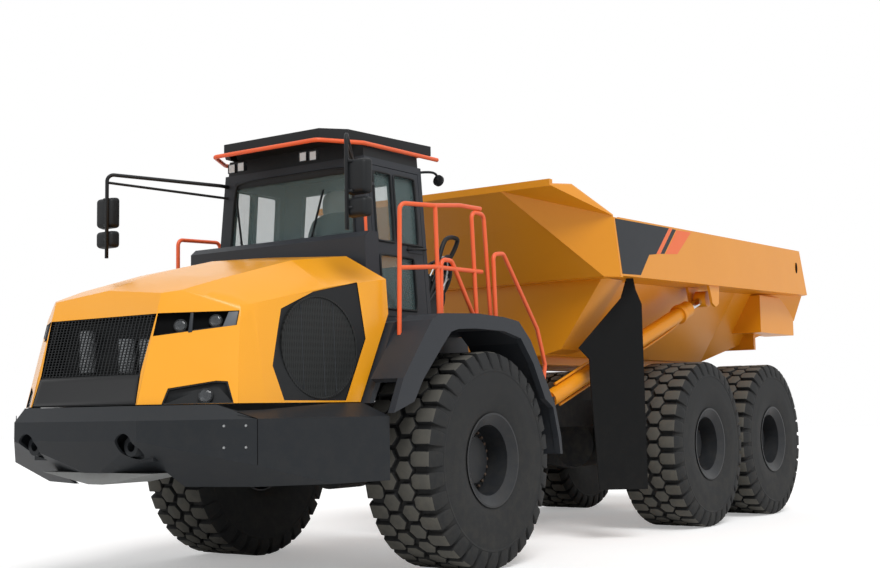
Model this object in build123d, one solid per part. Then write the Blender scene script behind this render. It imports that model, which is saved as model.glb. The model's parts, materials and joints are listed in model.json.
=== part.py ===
# Articulated dump truck: six wheels, a front unit with hood and cab, a steering and oscillating
# hitch, and a rear unit with a tipping load body. Millimetres, +X forward, +Y left, +Z up.
# Lengths along X are measured from the front axle; the finished pieces are shifted so that the
# origin is at the bottom centre of the box round the whole truck.
import os
from math import cos, radians, sin, sqrt

from build123d import *

# Driving dimensions of the whole truck
nose_reach = 3140
tail_reach = 7860
mid_axle_x = -4555
rear_axle_x = -6495
hitch_x = -1550
track = 2640
tyre_radius = 937.5
tyre_width = 750
body_half_width = 1700
running_gap = 0.3
panel_gap = 6
origin_shift = (tail_reach - nose_reach) / 2

# Wheels
rim_radius = 317
rim_flange_radius = 406
spindle_radius = 165
spindle_reach = 115
hub_radius = 235
tread_pitches = 18
tread_half = 300
tread_block_half = 87
casing_radius = 900
wheel_places = [  # name, x, side
    ("front_left", 0, 1),
    ("front_right", 0, -1),
    ("mid_left", mid_axle_x, 1),
    ("mid_right", mid_axle_x, -1),
    ("rear_left", rear_axle_x, 1),
    ("rear_right", rear_axle_x, -1),
]

# Frames and hitch
rail_y = 430
rail_width = 120
rail_low = 1160
rail_high = 1460
front_rail_nose = nose_reach - 440
front_rail_tail = -1180
yoke_half_width = 170
yoke_plate = 70
yoke_low = 850
yoke_high = 1330
hitch_pin_radius = 60
trunnion_radius = 180
trunnion_z = 1130
trunnion_tail = -2230
ring_wall = 60
ring_nose = -1890
rear_rail_y = 400
rear_rail_tail = -6880

# Load body hinge and hoist cylinders
tip_x = -6750
tip_z = 1600
tip_angle = 70
tip_pin_radius = 50
hoist_foot = (-2000, 980, 1420)
hoist_eye = (-4850, body_half_width - 200, 2620)
hoist_barrel_radius = 85
hoist_rod_radius = 45
hoist_ball_radius = 55
guide_pin_radius = 14

# Steering cylinders
steer_foot = (-520, 330, 1020)
steer_eye = (-1600, 300, 1020)
steer_barrel_radius = 60
steer_rod_radius = 32
steer_angle = 45

# Load body
body_front_x = -2400
body_mid_x = -6300
body_tail_x = -7860
body_wall = 22
floor_half = 800
floor_z = 1930
band_front_low = 2710
band_tail_low = 2840
band_front_high = 3310
band_tail_high = 3425
canopy_x = -1390
canopy_z = 3600
canopy_half = 1480

# Cab
cab_rear_x = -150
cab_front_low_x = 740
cab_front_high_x = 690
cab_low = 2100
cab_high = 3600
cab_half_low = 941
cab_half_high = 834
cab_wall = 55
roof_high = 3830
glass_thickness = 6

# Hood
hood_low = 1450
hood_rear_x = 860
hood_nose = nose_reach - 70
hood_wall = 25
hood_hinge_x = nose_reach - 150
hood_hinge_z = 1460
hood_hinge_y = 600

# Bumper and fenders
bumper_low = 839
bumper_high = 1442
bumper_wall = 20
chin_low = 950
tow_eye = (nose_reach - 80, 545, 1150)
tow_eye_radius = 38
fender_high = 2189
rail_y_out = body_half_width - 155
deck_z = 2100
deck_thickness = 50
deck_half = 1050
rail_tube = 19


def poly_x(points, x):
    plane = Plane((x, 0, 0), x_dir=(0, 1, 0), z_dir=(1, 0, 0))
    return plane * make_face(Polyline(*points, close=True))


def prism_x(points, x0, x1):
    return extrude(poly_x(points, x0), amount=x1 - x0)


def prism_y(points, y0, y1):
    plane = Plane((0, y1, 0), x_dir=(1, 0, 0), z_dir=(0, -1, 0))
    return extrude(plane * make_face(Polyline(*points, close=True)), amount=y1 - y0)


def prism_z(points, z0, z1):
    plane = Plane((0, 0, z0), x_dir=(1, 0, 0), z_dir=(0, 0, 1))
    return extrude(plane * make_face(Polyline(*points, close=True)), amount=z1 - z0)


def block(x0, x1, y0, y1, z0, z1):
    size = Box(x1 - x0, y1 - y0, z1 - z0)
    return Pos((x0 + x1) / 2, (y0 + y1) / 2, (z0 + z1) / 2) * size


def bar(start, end, radius):
    # a round bar from one point to another
    way = Vector(*end) - Vector(*start)
    plane = Plane(start, z_dir=way)
    return plane * Cylinder(radius, way.length, align=(Align.CENTER, Align.CENTER, Align.MIN))


def tube(points, radius, bend=60):
    # a bent round tube along a run of points
    path = FilletPolyline(*points, radius=bend) if len(points) > 2 else Line(*points)
    start = Vector(*points[0])
    profile = Plane(start, z_dir=Vector(*points[1]) - start) * Circle(radius)
    return sweep(profile, path=path)


def panel(points, push):
    # a thin plate over a fan of corners in space, thickened by one push vector
    first = Vector(*points[0])
    plates = []
    for a, b in zip(points[1:], points[2:]):
        face = Face(Wire.make_polygon([first, Vector(*a), Vector(*b)]))
        plates.append(Solid.extrude(face, Vector(*push)))
    return joined(plates)


def mirrored(shape):
    return mirror(shape, about=Plane.XZ)


def both(shape):
    return shape + mirrored(shape)


def joined(shapes):
    total = shapes[0]
    for shape in shapes[1:]:
        total = total + shape
    return total


# Tyres and rims, made at the origin with the outer side towards +Y

def tyre_casing():
    # a closed ring of flat faces, two round the axis to each tread pitch, one corner lowest
    sides = 2 * tread_pitches
    half = tyre_width / 2
    bead = (rim_radius + running_gap) / cos(radians(180 / sides))
    outer = [  # distance from the tyre's middle, radius of the corners
        (tread_half, casing_radius),
        (half, 640),
        (half * 0.9 - 1, rim_flange_radius - 20),
        (half * 0.78 - 1, bead),
    ]
    outline = outer + [(-y, r) for y, r in reversed(outer)]
    faces = []
    for (y0, r0), (y1, r1) in zip(outline, outline[1:] + outline[:1]):
        for i in range(sides):
            a, b = radians(360 / sides * i), radians(360 / sides * (i + 1))
            faces.append(Face(Wire.make_polygon([
                (r0 * sin(a), y0, -r0 * cos(a)), (r0 * sin(b), y0, -r0 * cos(b)),
                (r1 * sin(b), y1, -r1 * cos(b)), (r1 * sin(a), y1, -r1 * cos(a))])))
    return Solid(Shell(faces))


tread_block = [  # along the tread's run, distance from the tyre's middle
    (-60, 6),
    (50, 6),
    (tread_block_half, 100),
    (tread_block_half, tread_half - 2),
    (-tread_block_half, tread_half - 2),
]


def tyre():
    casing = tyre_casing()
    top = sqrt(tyre_radius ** 2 - tread_block_half ** 2)
    blocks = []
    for side in (-1, 1):
        plan = make_face(Polyline(*[(t * side, w * side) for t, w in tread_block], close=True))
        for i in range(tread_pitches):
            turn = radians(360 / tread_pitches * (i + side * 0.25))
            out = Vector(sin(turn), 0, -cos(turn))
            along = Vector(cos(turn), 0, sin(turn))
            plane = Plane(out * (casing_radius - 30), x_dir=along, z_dir=out)
            blocks.append(extrude(plane * plan, amount=top - casing_radius + 30))
    return casing + blocks


def rim():
    half = tyre_width / 2
    bead_in = half * 0.78 + running_gap
    bore = spindle_radius + running_gap
    outline = [  # radius, distance from the rim's middle
        (rim_radius - 14, -bead_in),
        (rim_radius, -bead_in),
        (rim_radius, bead_in),
        (rim_flange_radius - 20, half * 0.9 + 0.6),
        (rim_flange_radius, half * 0.9 + 16),
        (rim_flange_radius - 16, half * 0.9 + 16),
        (rim_radius - 14, bead_in + 6),
        (rim_radius - 14, 90),
        (hub_radius, 90),
        (200, spindle_reach + 35),
        (0.0, spindle_reach + 35),
        (0.0, spindle_reach + 5),
        (bore, spindle_reach + 5),
        (bore, 30),
        (hub_radius, 30),
        (hub_radius, 60),
        (rim_radius - 14, 60),
    ]
    face = Plane.XY * make_face(Polyline(*outline, close=True))
    return revolve(face, axis=Axis.Y)


def wheel_place(x, side):
    place = Pos(x, side * track / 2, tyre_radius)
    return place if side > 0 else place * Rot(0, 0, 180)


# Front unit

def front_frame():
    rail = block(front_rail_tail, front_rail_nose, rail_y, rail_y + rail_width, rail_low, rail_high)
    cross = [block(x, x + 140, -rail_y, rail_y, rail_low + 40, rail_high - 40)
             for x in (front_rail_tail + running_gap, -420, 1500, front_rail_nose - 140)]
    wing = block(front_rail_tail - 60, front_rail_tail, yoke_half_width + running_gap,
                 rail_y + rail_width, rail_low, rail_high)
    tower = block(front_rail_tail - 60, front_rail_tail, -yoke_half_width, yoke_half_width,
                  yoke_low, rail_high)
    lug_plan = [
        (front_rail_tail, -yoke_half_width),
        (front_rail_tail, yoke_half_width),
        (hitch_x, 150),
        (hitch_x - 130, 60),
        (hitch_x - 130, -60),
        (hitch_x, -150),
    ]
    lugs = [prism_z(lug_plan, z, z + yoke_plate) for z in (yoke_low, yoke_high)]
    bore = Pos(hitch_x, 0, 0) * Cylinder(hitch_pin_radius, 4 * rail_high)
    frame = both(rail + wing) + joined(cross) + (tower + joined(lugs) - bore)
    foot_x, foot_y, foot_z = steer_foot
    ear = block(foot_x - 60, foot_x + 90, foot_y - 90, foot_y + 130, 0, 26)
    web = block(foot_x - 90, foot_x + 90, foot_y + 100, rail_y + 20, foot_z - 90,
                rail_low - running_gap)
    ears = [Pos(0, 0, foot_z + 42) * ear, Pos(0, 0, foot_z - 42 - 26) * ear]
    ball = Pos(foot_x, foot_y, foot_z) * Sphere(42)
    pin = Pos(foot_x, foot_y, foot_z) * Cylinder(22, 100)
    frame = frame + both(joined(ears) + web + ball + pin)
    mount = block(2400, front_rail_nose + 10, 250, rail_y + rail_width, 1050, rail_low)
    hanger = block(2460, 2520, 250, rail_y + rail_width, chin_low, rail_low)
    return frame + both(mount + hanger)


def axle(x):
    # a straight axle housing with a differential bowl and a spindle at each end
    beam = Pos(x, 0, tyre_radius) * Rot(90, 0, 0) * Cylinder(130, 2 * 900)
    spindle = Pos(x, 0, tyre_radius) * Rot(90, 0, 0) * Cylinder(spindle_radius, track + 2 * spindle_reach)
    middle = Pos(x, 0, tyre_radius) * Rot(90, 0, 0) * Cylinder(spindle_radius + 1, 2 * 880)
    flange = Pos(x, 0, tyre_radius) * Rot(90, 0, 0) * Cylinder(260, 2 * 860)
    flange_cut = Pos(x, 0, tyre_radius) * Rot(90, 0, 0) * Cylinder(400, 2 * 790)
    bowl = Pos(x, 0, tyre_radius) * Rot(0, 90, 0) * Cylinder(270, 420)
    return beam + (spindle - middle) + (flange - flange_cut) + bowl


def front_axle():
    link = block(-60, 60, rail_y + 20, rail_y + 100, tyre_radius, rail_low)
    return axle(0) + both(link)


def engine_block():
    return block(1520, 2350, -330, 330, rail_high - 40 + running_gap, 2150)


bumper_faces = [  # three corners of each slanted outer face of the left half, seen from outside in order
    [(nose_reach, 687, 900), (nose_reach - 523, 1364, 900), (nose_reach, 687, 1300)],
    [(nose_reach - 523, 1364, 900), (1370, 1600, 900), (nose_reach - 523, 1364, 1300)],
    [(nose_reach, 0, 1190), (nose_reach - 180, 0, chin_low), (nose_reach, 600, 1190)],
    [(nose_reach, 687, 1190), (nose_reach - 740, 1230, bumper_low), (nose_reach - 523, 1364, 1003)],
    [(nose_reach - 523, 1364, 1003), (nose_reach - 840, 1250, bumper_low), (1933, 1492, bumper_low)],
    [(nose_reach, 0, 1335), (nose_reach, 600, 1335), (nose_reach - 76, 0, bumper_high)],
    [(nose_reach, 687, 1335), (nose_reach - 523, 1364, 1335), (nose_reach - 357, 1024, bumper_high)],
    [(nose_reach - 523, 1364, 1335), (1370, 1600, 1335), (1700, 1278, bumper_high)],
]


def beyond(corners, inset):
    # the space outside a face through three corners, with the face moved in by an inset
    a, b, c = [Vector(*corner) for corner in corners]
    plane = Plane(a, z_dir=(b - a).cross(c - a)).offset(-inset)
    return plane * Box(9000, 9000, 3000, align=(Align.CENTER, Align.CENTER, Align.MIN))


def prow(inset, low):
    # the closed form of the bumper's left half, every outer face moved in by an inset
    form = block(1370 - inset, nose_reach - inset, 0, 1700, low, bumper_high - inset)
    for corners in bumper_faces:
        form = form - beyond(corners, inset)
    return form


hood_gap_plan = [  # half of the opening that the hood closes
    (nose_reach - 76, 0),
    (nose_reach - 76, 600),
    (2650, 1211),
    (2400, 1243),
    (1700, 1278),
    (1300, 1316),
    (1300, 0),
]


def bumper():
    shell = prow(0, bumper_low) - prow(bumper_wall, bumper_low - bumper_wall)
    shell = shell - prism_z(hood_gap_plan, 1300, bumper_high + 5)
    shell = shell - block(2000, nose_reach, 0, 620, bumper_low - 1, chin_low)
    eye_x, eye_y, eye_z = tow_eye
    shell = shell - bar((eye_x - 120, eye_y, eye_z), (eye_x + 200, eye_y, eye_z), 95)
    back = block(front_rail_nose + 10, eye_x - 100, 280, 670, 1040, 1190)
    floor_piece = block(front_rail_nose + 10, nose_reach, 280, 700, chin_low, chin_low + 20)
    ribs = [block(front_rail_nose + 10, nose_reach, y, y + 20, chin_low, 1300) for y in (280, 680)]
    held = (floor_piece + ribs) & prow(10, bumper_low)
    ring = bar((eye_x - 110, eye_y, eye_z), (eye_x, eye_y, eye_z), 72)
    bore = bar((eye_x - 80, eye_y, eye_z), (eye_x + 10, eye_y, eye_z), tow_eye_radius)
    x, y, z = hood_hinge_x, hood_hinge_y, hood_hinge_z
    ear = prism_y([(x - 130, 1150), (x - 40, 1150), (x + 4, z - 20), (x + 18, z - 8), (x + 18, z + 18),
                   (x - 18, z + 18), (x - 30, z - 20)], y, y + 20)
    pin = Pos(x, y + 25, z) * Rot(90, 0, 0) * Cylinder(8, 54)
    return both(shell + back + held + (ring - bore) + ear + pin)


def skid_plate():
    # a shallow V under the frame's nose, hung from its two hangers
    front_view = [(-620, chin_low - 0.2), (-80, 862), (80, 862), (620, chin_low - 0.2)]  # y, z
    return prism_x(front_view, 2450, nose_reach - 215)


fender_outer = [  # x, z of the arch's outer edge from the front tip over the top to the tail
    (1441, 1359),
    (1312, 1630),
    (914, 2108),
    (789, 2164),
    (246, fender_high),
    (-173, 2177),
    (-415, 2150),
    (-609, 1992),
    (-778, 1756),
    (-1025, 1394),
    (-1118, 1109),
    (-1137, 952),
]
fender_lip = [  # x, z of the lip's inner edge
    (1172, 1446), (1049, 1621), (797, 1874), (646, 2017), (538, 2045), (273, 2060), (-168, 2055),
    (-446, 2000), (-650, 1781), (-843, 1463), (-985, 1380), (-1070, 1100), (-1095, 952),
]
fender_under = [  # x, z of the top sheet's underside
    (1370, 1359), (1250, 1600), (870, 2050), (780, 2084), (240, 2090), (-170, 2090), (-390, 2084),
    (-560, 1960), (-725, 1735),
]


def fenders():
    # arch of plates over the front tyre with a raised lip, and a wall between tyre and frame
    tail_y = 1300
    lip = prism_y(fender_outer + fender_lip[::-1], body_half_width - 60, body_half_width)
    top = prism_y(fender_outer[1:9] + fender_under[:0:-1], tail_y + 70, body_half_width)
    inner_line = [(1330, 1440), (1000, 2095), (860, 2120)] + fender_outer[3:9]
    under_line = [(1270, 1440), (940, 2040), (840, 2060)] + fender_under[3:]
    inner = prism_y(inner_line + under_line[::-1], deck_half, tail_y + 70)
    tail = prism_y(fender_outer[8:] + [(-1100, 952), (-1080, 1110), (-985, 1410), (-725, 1735)],
                   tail_y, body_half_width)
    wall = prism_y([(840, 1460), (840, deck_z - deck_thickness), (-760, deck_z - deck_thickness),
                    (-900, 1460)], 880, 900)
    return both(lip + top + inner + tail) + both(wall)


def deck():
    # walkway round the cab with its support posts down to the frame
    rear, front = cab_rear_x - 480, 860
    plan = [(rear, -deck_half), (rear, deck_half), (front, deck_half), (front, -deck_half)]
    plate = prism_z(plan, deck_z - deck_thickness, deck_z)
    posts = [block(x, x + 120, rail_y, rail_y + rail_width, rail_high, deck_z - deck_thickness)
             for x in (-330, 660)]
    return joined([plate] + [both(p) for p in posts])


def cowl():
    side = [(760, deck_z), (860, deck_z), (940, deck_z + 60), (940, 2850), (880, 2900), (760, 2900)]
    hollow = [(700, 2000), (840, 2000), (915, deck_z + 60), (915, 2840), (870, 2875), (700, 2875)]
    return prism_y(side, -1040, 1040) - prism_y(hollow, -1015, 1015)


def cab_loft(inset, low, high, front_inset=None):
    # the cab's box, tapering towards its roof, with every side moved in by an inset
    front_inset = inset if front_inset is None else front_inset

    def ring(z):
        share = (z - cab_low) / (cab_high - cab_low)
        front = cab_front_low_x + share * (cab_front_high_x - cab_front_low_x) - front_inset
        half = cab_half_low + share * (cab_half_high - cab_half_low) - inset
        rear = cab_rear_x + inset
        return Plane.XY.offset(z) * make_face(Polyline(
            (rear, -half), (rear, half), (front, half), (front, -half), close=True))

    return loft([ring(low), ring(high)], ruled=True)


door_outline = [(-90, 2200), (640, 2200), (640, 3530), (-90, 3530)]
side_windows = [  # x, z corners
    [(330, 2860), (585, 2860), (585, 3480), (330, 3480)],
    [(-30, 2860), (290, 2860), (290, 3480), (-30, 3480)],
    [(60, 2260), (560, 2260), (560, 2740), (60, 2740)],
]
windscreen = [(-780, 2420), (780, 2420), (700, 3520), (-700, 3520)]
rear_window = [(-620, 2700), (620, 2700), (560, 3480), (-560, 3480)]


def grown(points, amount):
    # the same four corners, each moved out from the middle along both directions
    middle_x = sum(p[0] for p in points) / len(points)
    middle_z = sum(p[1] for p in points) / len(points)
    return [(x + (amount if x > middle_x else -amount), z + (amount if z > middle_z else -amount))
            for x, z in points]


def cab_openings():
    left = [prism_y(w, 600, 1100) for w in side_windows]
    right = [prism_y(w, -1100, -600) for w in side_windows]
    front = prism_x(windscreen, 500, 900)
    rear = prism_x(rear_window, cab_rear_x - 100, cab_rear_x + 150)
    return left, right, front, rear


def cab_shell():
    wall = cab_loft(0, cab_low, cab_high) - cab_loft(cab_wall, cab_low + 60, cab_high + 1)
    left, right, front, rear = cab_openings()
    door_zone = prism_y(grown(door_outline, panel_gap), 600, 1100)
    hinges = [door_hinge(z, 60, 6) + door_hinge_arm(z - 18, 6) for z in door_hinge_places]
    return wall - door_zone - joined(right) - front - rear + joined(hinges)


def door_hinge(z, length, radius):
    # a round piece on the door's hinge line, centred at a height
    lean = (cab_half_high - cab_half_low) / (cab_high - cab_low)
    y = cab_half_low + lean * (z - cab_low) + door_hinge_out
    return Plane((door_hinge_x, y, z), z_dir=(0, lean, 1)) * Cylinder(radius, length)


def door_hinge_arm(z, reach):
    # a strap that runs from the hinge line into the wall in front of the door
    lean = (cab_half_high - cab_half_low) / (cab_high - cab_low)
    y = cab_half_low + lean * (z - cab_low)
    return block(door_hinge_x - reach, door_hinge_x + 34, y - 20, y + door_hinge_out + 6, z - 10, z + 10)


door_hinge_x = 646
door_hinge_out = 12
door_hinge_places = (2300, 3350)


def door_frame():
    leaf = cab_loft(0, cab_low + 10, cab_high - 10) - cab_loft(cab_wall - 10, cab_low, cab_high)
    leaf = leaf & prism_y(door_outline, 600, 1100)
    left = cab_openings()[0]
    leaf = leaf - joined(left)
    for z in door_hinge_places:
        lean = (cab_half_high - cab_half_low) / (cab_high - cab_low)
        y = cab_half_low + lean * (z + 10 - cab_low)
        strap = block(door_hinge_x - 60, door_hinge_x, y - 12, y + door_hinge_out, z - 4, z + 22)
        knuckle = Pos(0, 0, 0) * door_hinge(z + 9, 26, 11)
        leaf = leaf + strap + knuckle - door_hinge(z, 90, 6.05)
    return leaf


def glass_skin():
    outer = cab_loft(20, cab_low + 100, cab_high - 20)
    return outer - cab_loft(20 + glass_thickness, cab_low + 90, cab_high)


def cab_glass():
    left, right, front, rear = cab_openings()
    return joined([glass_skin() & zone for zone in right + [front, rear]])


def door_glass():
    return joined([glass_skin() & zone for zone in cab_openings()[0]])


def cab_roof():
    cap = cab_loft(20, cab_high, cab_high + 140)
    plan = [(-310, 840), (786, 737), (980, 570), (980, -570), (786, -737), (-310, -840)]
    slab = prism_z(plan, 3740, roof_high)
    hollow = prism_z([(x - 40 if x > 0 else x + 40, y * 0.96) for x, y in plan], 3700, roof_high - 35)
    rim_plate = slab - hollow
    return cap + rim_plate + prism_z([(x * 0.9, y * 0.9) for x, y in plan], 3740, roof_high - 30)


def seat():
    base = block(20, 400, -240, 240, cab_low + 60, 2390)
    cushion = block(0, 460, -260, 260, 2390, 2500)
    back = prism_y([(0, 2420), (100, 2420), (20, 3180), (-80, 3180)], -250, 250)
    return base + cushion + back


def dashboard():
    pod = prism_y([(560, cab_low + 60), (675, cab_low + 60), (660, 2480), (560, 2560)], -620, 620)
    column = bar((620, 0, 2400), (472, 0, 2712), 35)
    wheel = Plane((470, 0, 2715), z_dir=(-0.42, 0, 0.9)) * (Cylinder(206, 26) - Cylinder(174, 30))
    hub = Plane((470, 0, 2715), z_dir=(-0.42, 0, 0.9)) * Box(360, 40, 20)
    return pod + column + wheel + hub


def roof_rail():
    front_x, side_y, z = 1060, 610, 3710
    path = [(-380, 862, z), (695, 834, z), (front_x, side_y, z), (front_x, -side_y, z),
            (695, -834, z), (-380, -862, z)]
    ring = tube(path, rail_tube)
    stays = [bar((x, 807.4 * s, z), (x, 845 * s, z), 14) for x in (-120, 600) for s in (-1, 1)]
    return joined([ring] + stays)


def handrails():
    y, foot = rail_y_out, 2150
    loops = [  # the left side: front post with top rail, two loops, and the ladder's rail
        [(1000, y - 115, 1990), (973, y - 115, 3083), (650, y, 3088), (270, y, 3133), (-59, y, 3140)],
        [(28, y, foot), (85, y, 3100), (-110, y, 3095), (-198, y, foot)],
        [(565, y, foot), (555, y, 2640), (400, y, 2640), (53, y, foot)],
        [(-194, y + 55, foot), (-169, y + 55, 2740), (-336, y + 55, 2762), (-895, y + 55, 2107),
         (-1024, y + 55, 1776), (-950, y + 55, 1480)],
        [(985, y - 115, 2545), (650, y, 2568), (-64, y, 2580)],
    ]
    rails = [tube(points, rail_tube) for points in loops]
    rails.append(bar((597, y, foot), (629, y, 3090), rail_tube))
    far_y = 45 - y
    far = tube([(665, far_y, foot), (665, far_y, 3064), (93, far_y, 3088), (93, far_y, foot)], rail_tube)
    return joined(rails) + far - fenders()


def mirror_set(head_y):
    # two arms from the cab's front to an upright post with a large and a small mirror head
    post_x, post_y = 1631, 1406
    arm = tube([(694.3, 800, 3500), (790, 800, 3500), (post_x, post_y, 3566), (post_x, post_y, 2795)], 17)
    brace = bar((705, 796, 3390), (post_x, post_y, 3490), 12)
    head = block(post_x - 110, post_x - 30, head_y, head_y + 250, 3060, 3375)
    spot = block(post_x - 110, post_x - 30, head_y, head_y + 250, 2900, 3050)
    ties = [block(post_x - 35, post_x, min(post_y, head_y + 100), max(post_y, head_y + 100) + 5, z, z + 20)
            for z in (3330, 3090, 2960)]
    return joined([arm, brace, head, spot] + ties)


def mirrors():
    return both(mirror_set(1350))


def service_stack():
    cabinet = block(-560, cab_rear_x - 40, -820, 300, deck_z, 2720)
    pack = block(-520, cab_rear_x - 60, 340, 760, deck_z, 2640)
    stack = Pos(-400, 560, 2600) * Cylinder(70, 500)
    return cabinet + pack + stack


# Hood

def hood_block(inset, low, rear_x):
    stations = [  # x, centre height, crown half width and height, shoulder, foot half width
        (rear_x, 2760, 900, 2700, 1330, 2480, 1350),
        (1700, 2650, 880, 2590, 1240, 2350, 1270),
        (2400, 2480, 800, 2400, 1130, 2190, 1235),
        (3200, 2190, 600, 2150, 940, 2010, 1130),
    ]
    sections = []
    for x, top, crown, crown_z, shoulder, shoulder_z, foot in stations:
        half = [(foot - inset, low), (shoulder - inset, shoulder_z - inset),
                (crown - inset / 2, crown_z - inset), (0, top - inset)]
        sections.append(poly_x(half + [(-y, z) for y, z in reversed(half[:-1])], x))
    skin = loft(sections, ruled=True)
    nose = loft([
        Plane.XY.offset(hood_low - 50) * make_face(Polyline(
            (0, -1600), (0, 1600), (hood_nose - 760 - inset, 1600), (hood_nose - 440 - inset, 1240),
            (hood_nose - inset, 600), (hood_nose - inset, -600),
            (hood_nose - 440 - inset, -1240), (hood_nose - 760 - inset, -1600), close=True)),
        Plane.XY.offset(2900) * make_face(Polyline(
            (0, -1600), (0, 1600), (hood_nose - 1180 - inset, 1600), (hood_nose - 860 - inset, 1240),
            (hood_nose - 420 - inset, 600), (hood_nose - 420 - inset, -600),
            (hood_nose - 860 - inset, -1240), (hood_nose - 1180 - inset, -1600), close=True)),
    ], ruled=True)
    return skin & nose


def hood_solid(inset, low, rear_x):
    side = prism_y([(3300, low), (1357, low), (1004, 2170), (1019, 2435), (1024, 3000), (3300, 3000)],
                   -1700, 1700)
    return hood_block(inset, low, rear_x) & side


grille_outline = [(-590, 1430), (590, 1430), (565, 1690), (600, 2120), (-600, 2120), (-565, 1690)]  # y, z
screen_outline = [  # x, z
    (1353, 2409),
    (1277, 1957),
    (1520, 1462),
    (2192, 1467),
    (2280, 1724),
    (2150, 2161),
    (1825, 2308),
]
lamp_band = [(8, 1950), (610, 2023), (610, 2132), (8, 2122)]  # along the corner face, z
fog_recess = [(177, 1450), (199, 1565), (539, 1616), (626, 1610), (700, 1451)]
corner_lamps = [(190, 2030, 42), (445, 2061, 42), (480, 1511, 48)]  # along the corner face, z, radius
corner_run = Vector(-440, 640, 0).normalized()
corner_out = Vector(0.824, 0.5665, 0.2307).normalized()


def on_corner(along, z, out=0):
    # a place on the hood's slanted corner face, from its front edge, moved out of the face
    return Vector(hood_nose - 0.28 * (z - 1400), 600, z) + corner_run * along + corner_out * out


def corner_prism(points, back, ahead):
    # a prism square to the corner face, from behind it to in front of it
    face = Face(Wire.make_polygon([on_corner(u, z, -back) for u, z in points]))
    return Solid.extrude(face, corner_out * (back + ahead))


def hood_zones():
    front = prism_x(grille_outline, 2600, 3300)
    side = prism_y(screen_outline, 700, 1600)
    recesses = corner_prism(lamp_band, 150, 60) + corner_prism(fog_recess, 150, 60)
    return front, both(side), both(recesses)


def hood_shell():
    front, side, recesses = hood_zones()
    hollow = hood_block(hood_wall, hood_low - 10, hood_rear_x - 10)
    shell = hood_solid(0, hood_low, hood_rear_x) - hollow - front - side - recesses
    x, y, z = hood_hinge_x, hood_hinge_y, hood_hinge_z
    bore = Pos(x, y + 40, z) * Rot(90, 0, 0) * Cylinder(8 + 0.05, 60)
    ear = block(x - 20, x + 80, y + 26, y + 46, z - 9, z + 18)
    ear = ear & hood_block(hood_wall - 2, z - 40, hood_rear_x)
    return shell + both(ear) - both(bore)


def hood_skin(inset, thickness):
    solid = hood_solid(inset, hood_low, hood_rear_x)
    return solid - hood_block(inset + thickness, hood_low - 10, hood_rear_x - 10)


def lamp_tray(outline):
    # a shallow black tray let into the hood's corner
    return corner_prism(outline, 60, -8) - corner_prism(grown(outline, -10), 44, 60)


def grille():
    # the louvred nose and the trays of the corner lamps
    trays = lamp_tray(lamp_band) + lamp_tray(fog_recess)
    return (hood_skin(8, 14) & hood_zones()[0]) + both(trays)


def side_screens():
    return hood_skin(6, 14) & hood_zones()[1]


def headlamps():
    lamps = [bar(tuple(on_corner(u, z, -43.8)), tuple(on_corner(u, z, -8)), radius)
             for u, z, radius in corner_lamps]
    return both(joined(lamps))


# Hitch and rear unit

def hitch():
    low, high = yoke_low + yoke_plate + 6, yoke_high - 6
    head = Pos(hitch_x, 0, (low + high) / 2) * Cylinder(150, high - low)
    pin_length = yoke_high + yoke_plate - yoke_low + 40
    pin = Pos(hitch_x, 0, yoke_low - 20 + pin_length / 2)
    pin = pin * Cylinder(hitch_pin_radius - 0.05, pin_length)
    web = block(hitch_x - 160, hitch_x, -150, 150, low, high)
    arm = bar((hitch_x - 160, 0, trunnion_z), (trunnion_tail, 0, trunnion_z), trunnion_radius)
    collar = bar((hitch_x - 160, 0, trunnion_z), (ring_nose + 6, 0, trunnion_z), 225)
    eye_x, eye_y, eye_z = steer_eye
    ear = prism_z([(hitch_x - 200, 100), (eye_x - 60, eye_y + 80), (eye_x + 60, eye_y + 80),
                   (hitch_x + 60, 100)], 0, 26)
    ears = [Pos(0, 0, eye_z + 48) * ear, Pos(0, 0, eye_z - 48 - 26) * ear]
    return head + web + collar + arm + pin + both(joined(ears))


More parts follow.
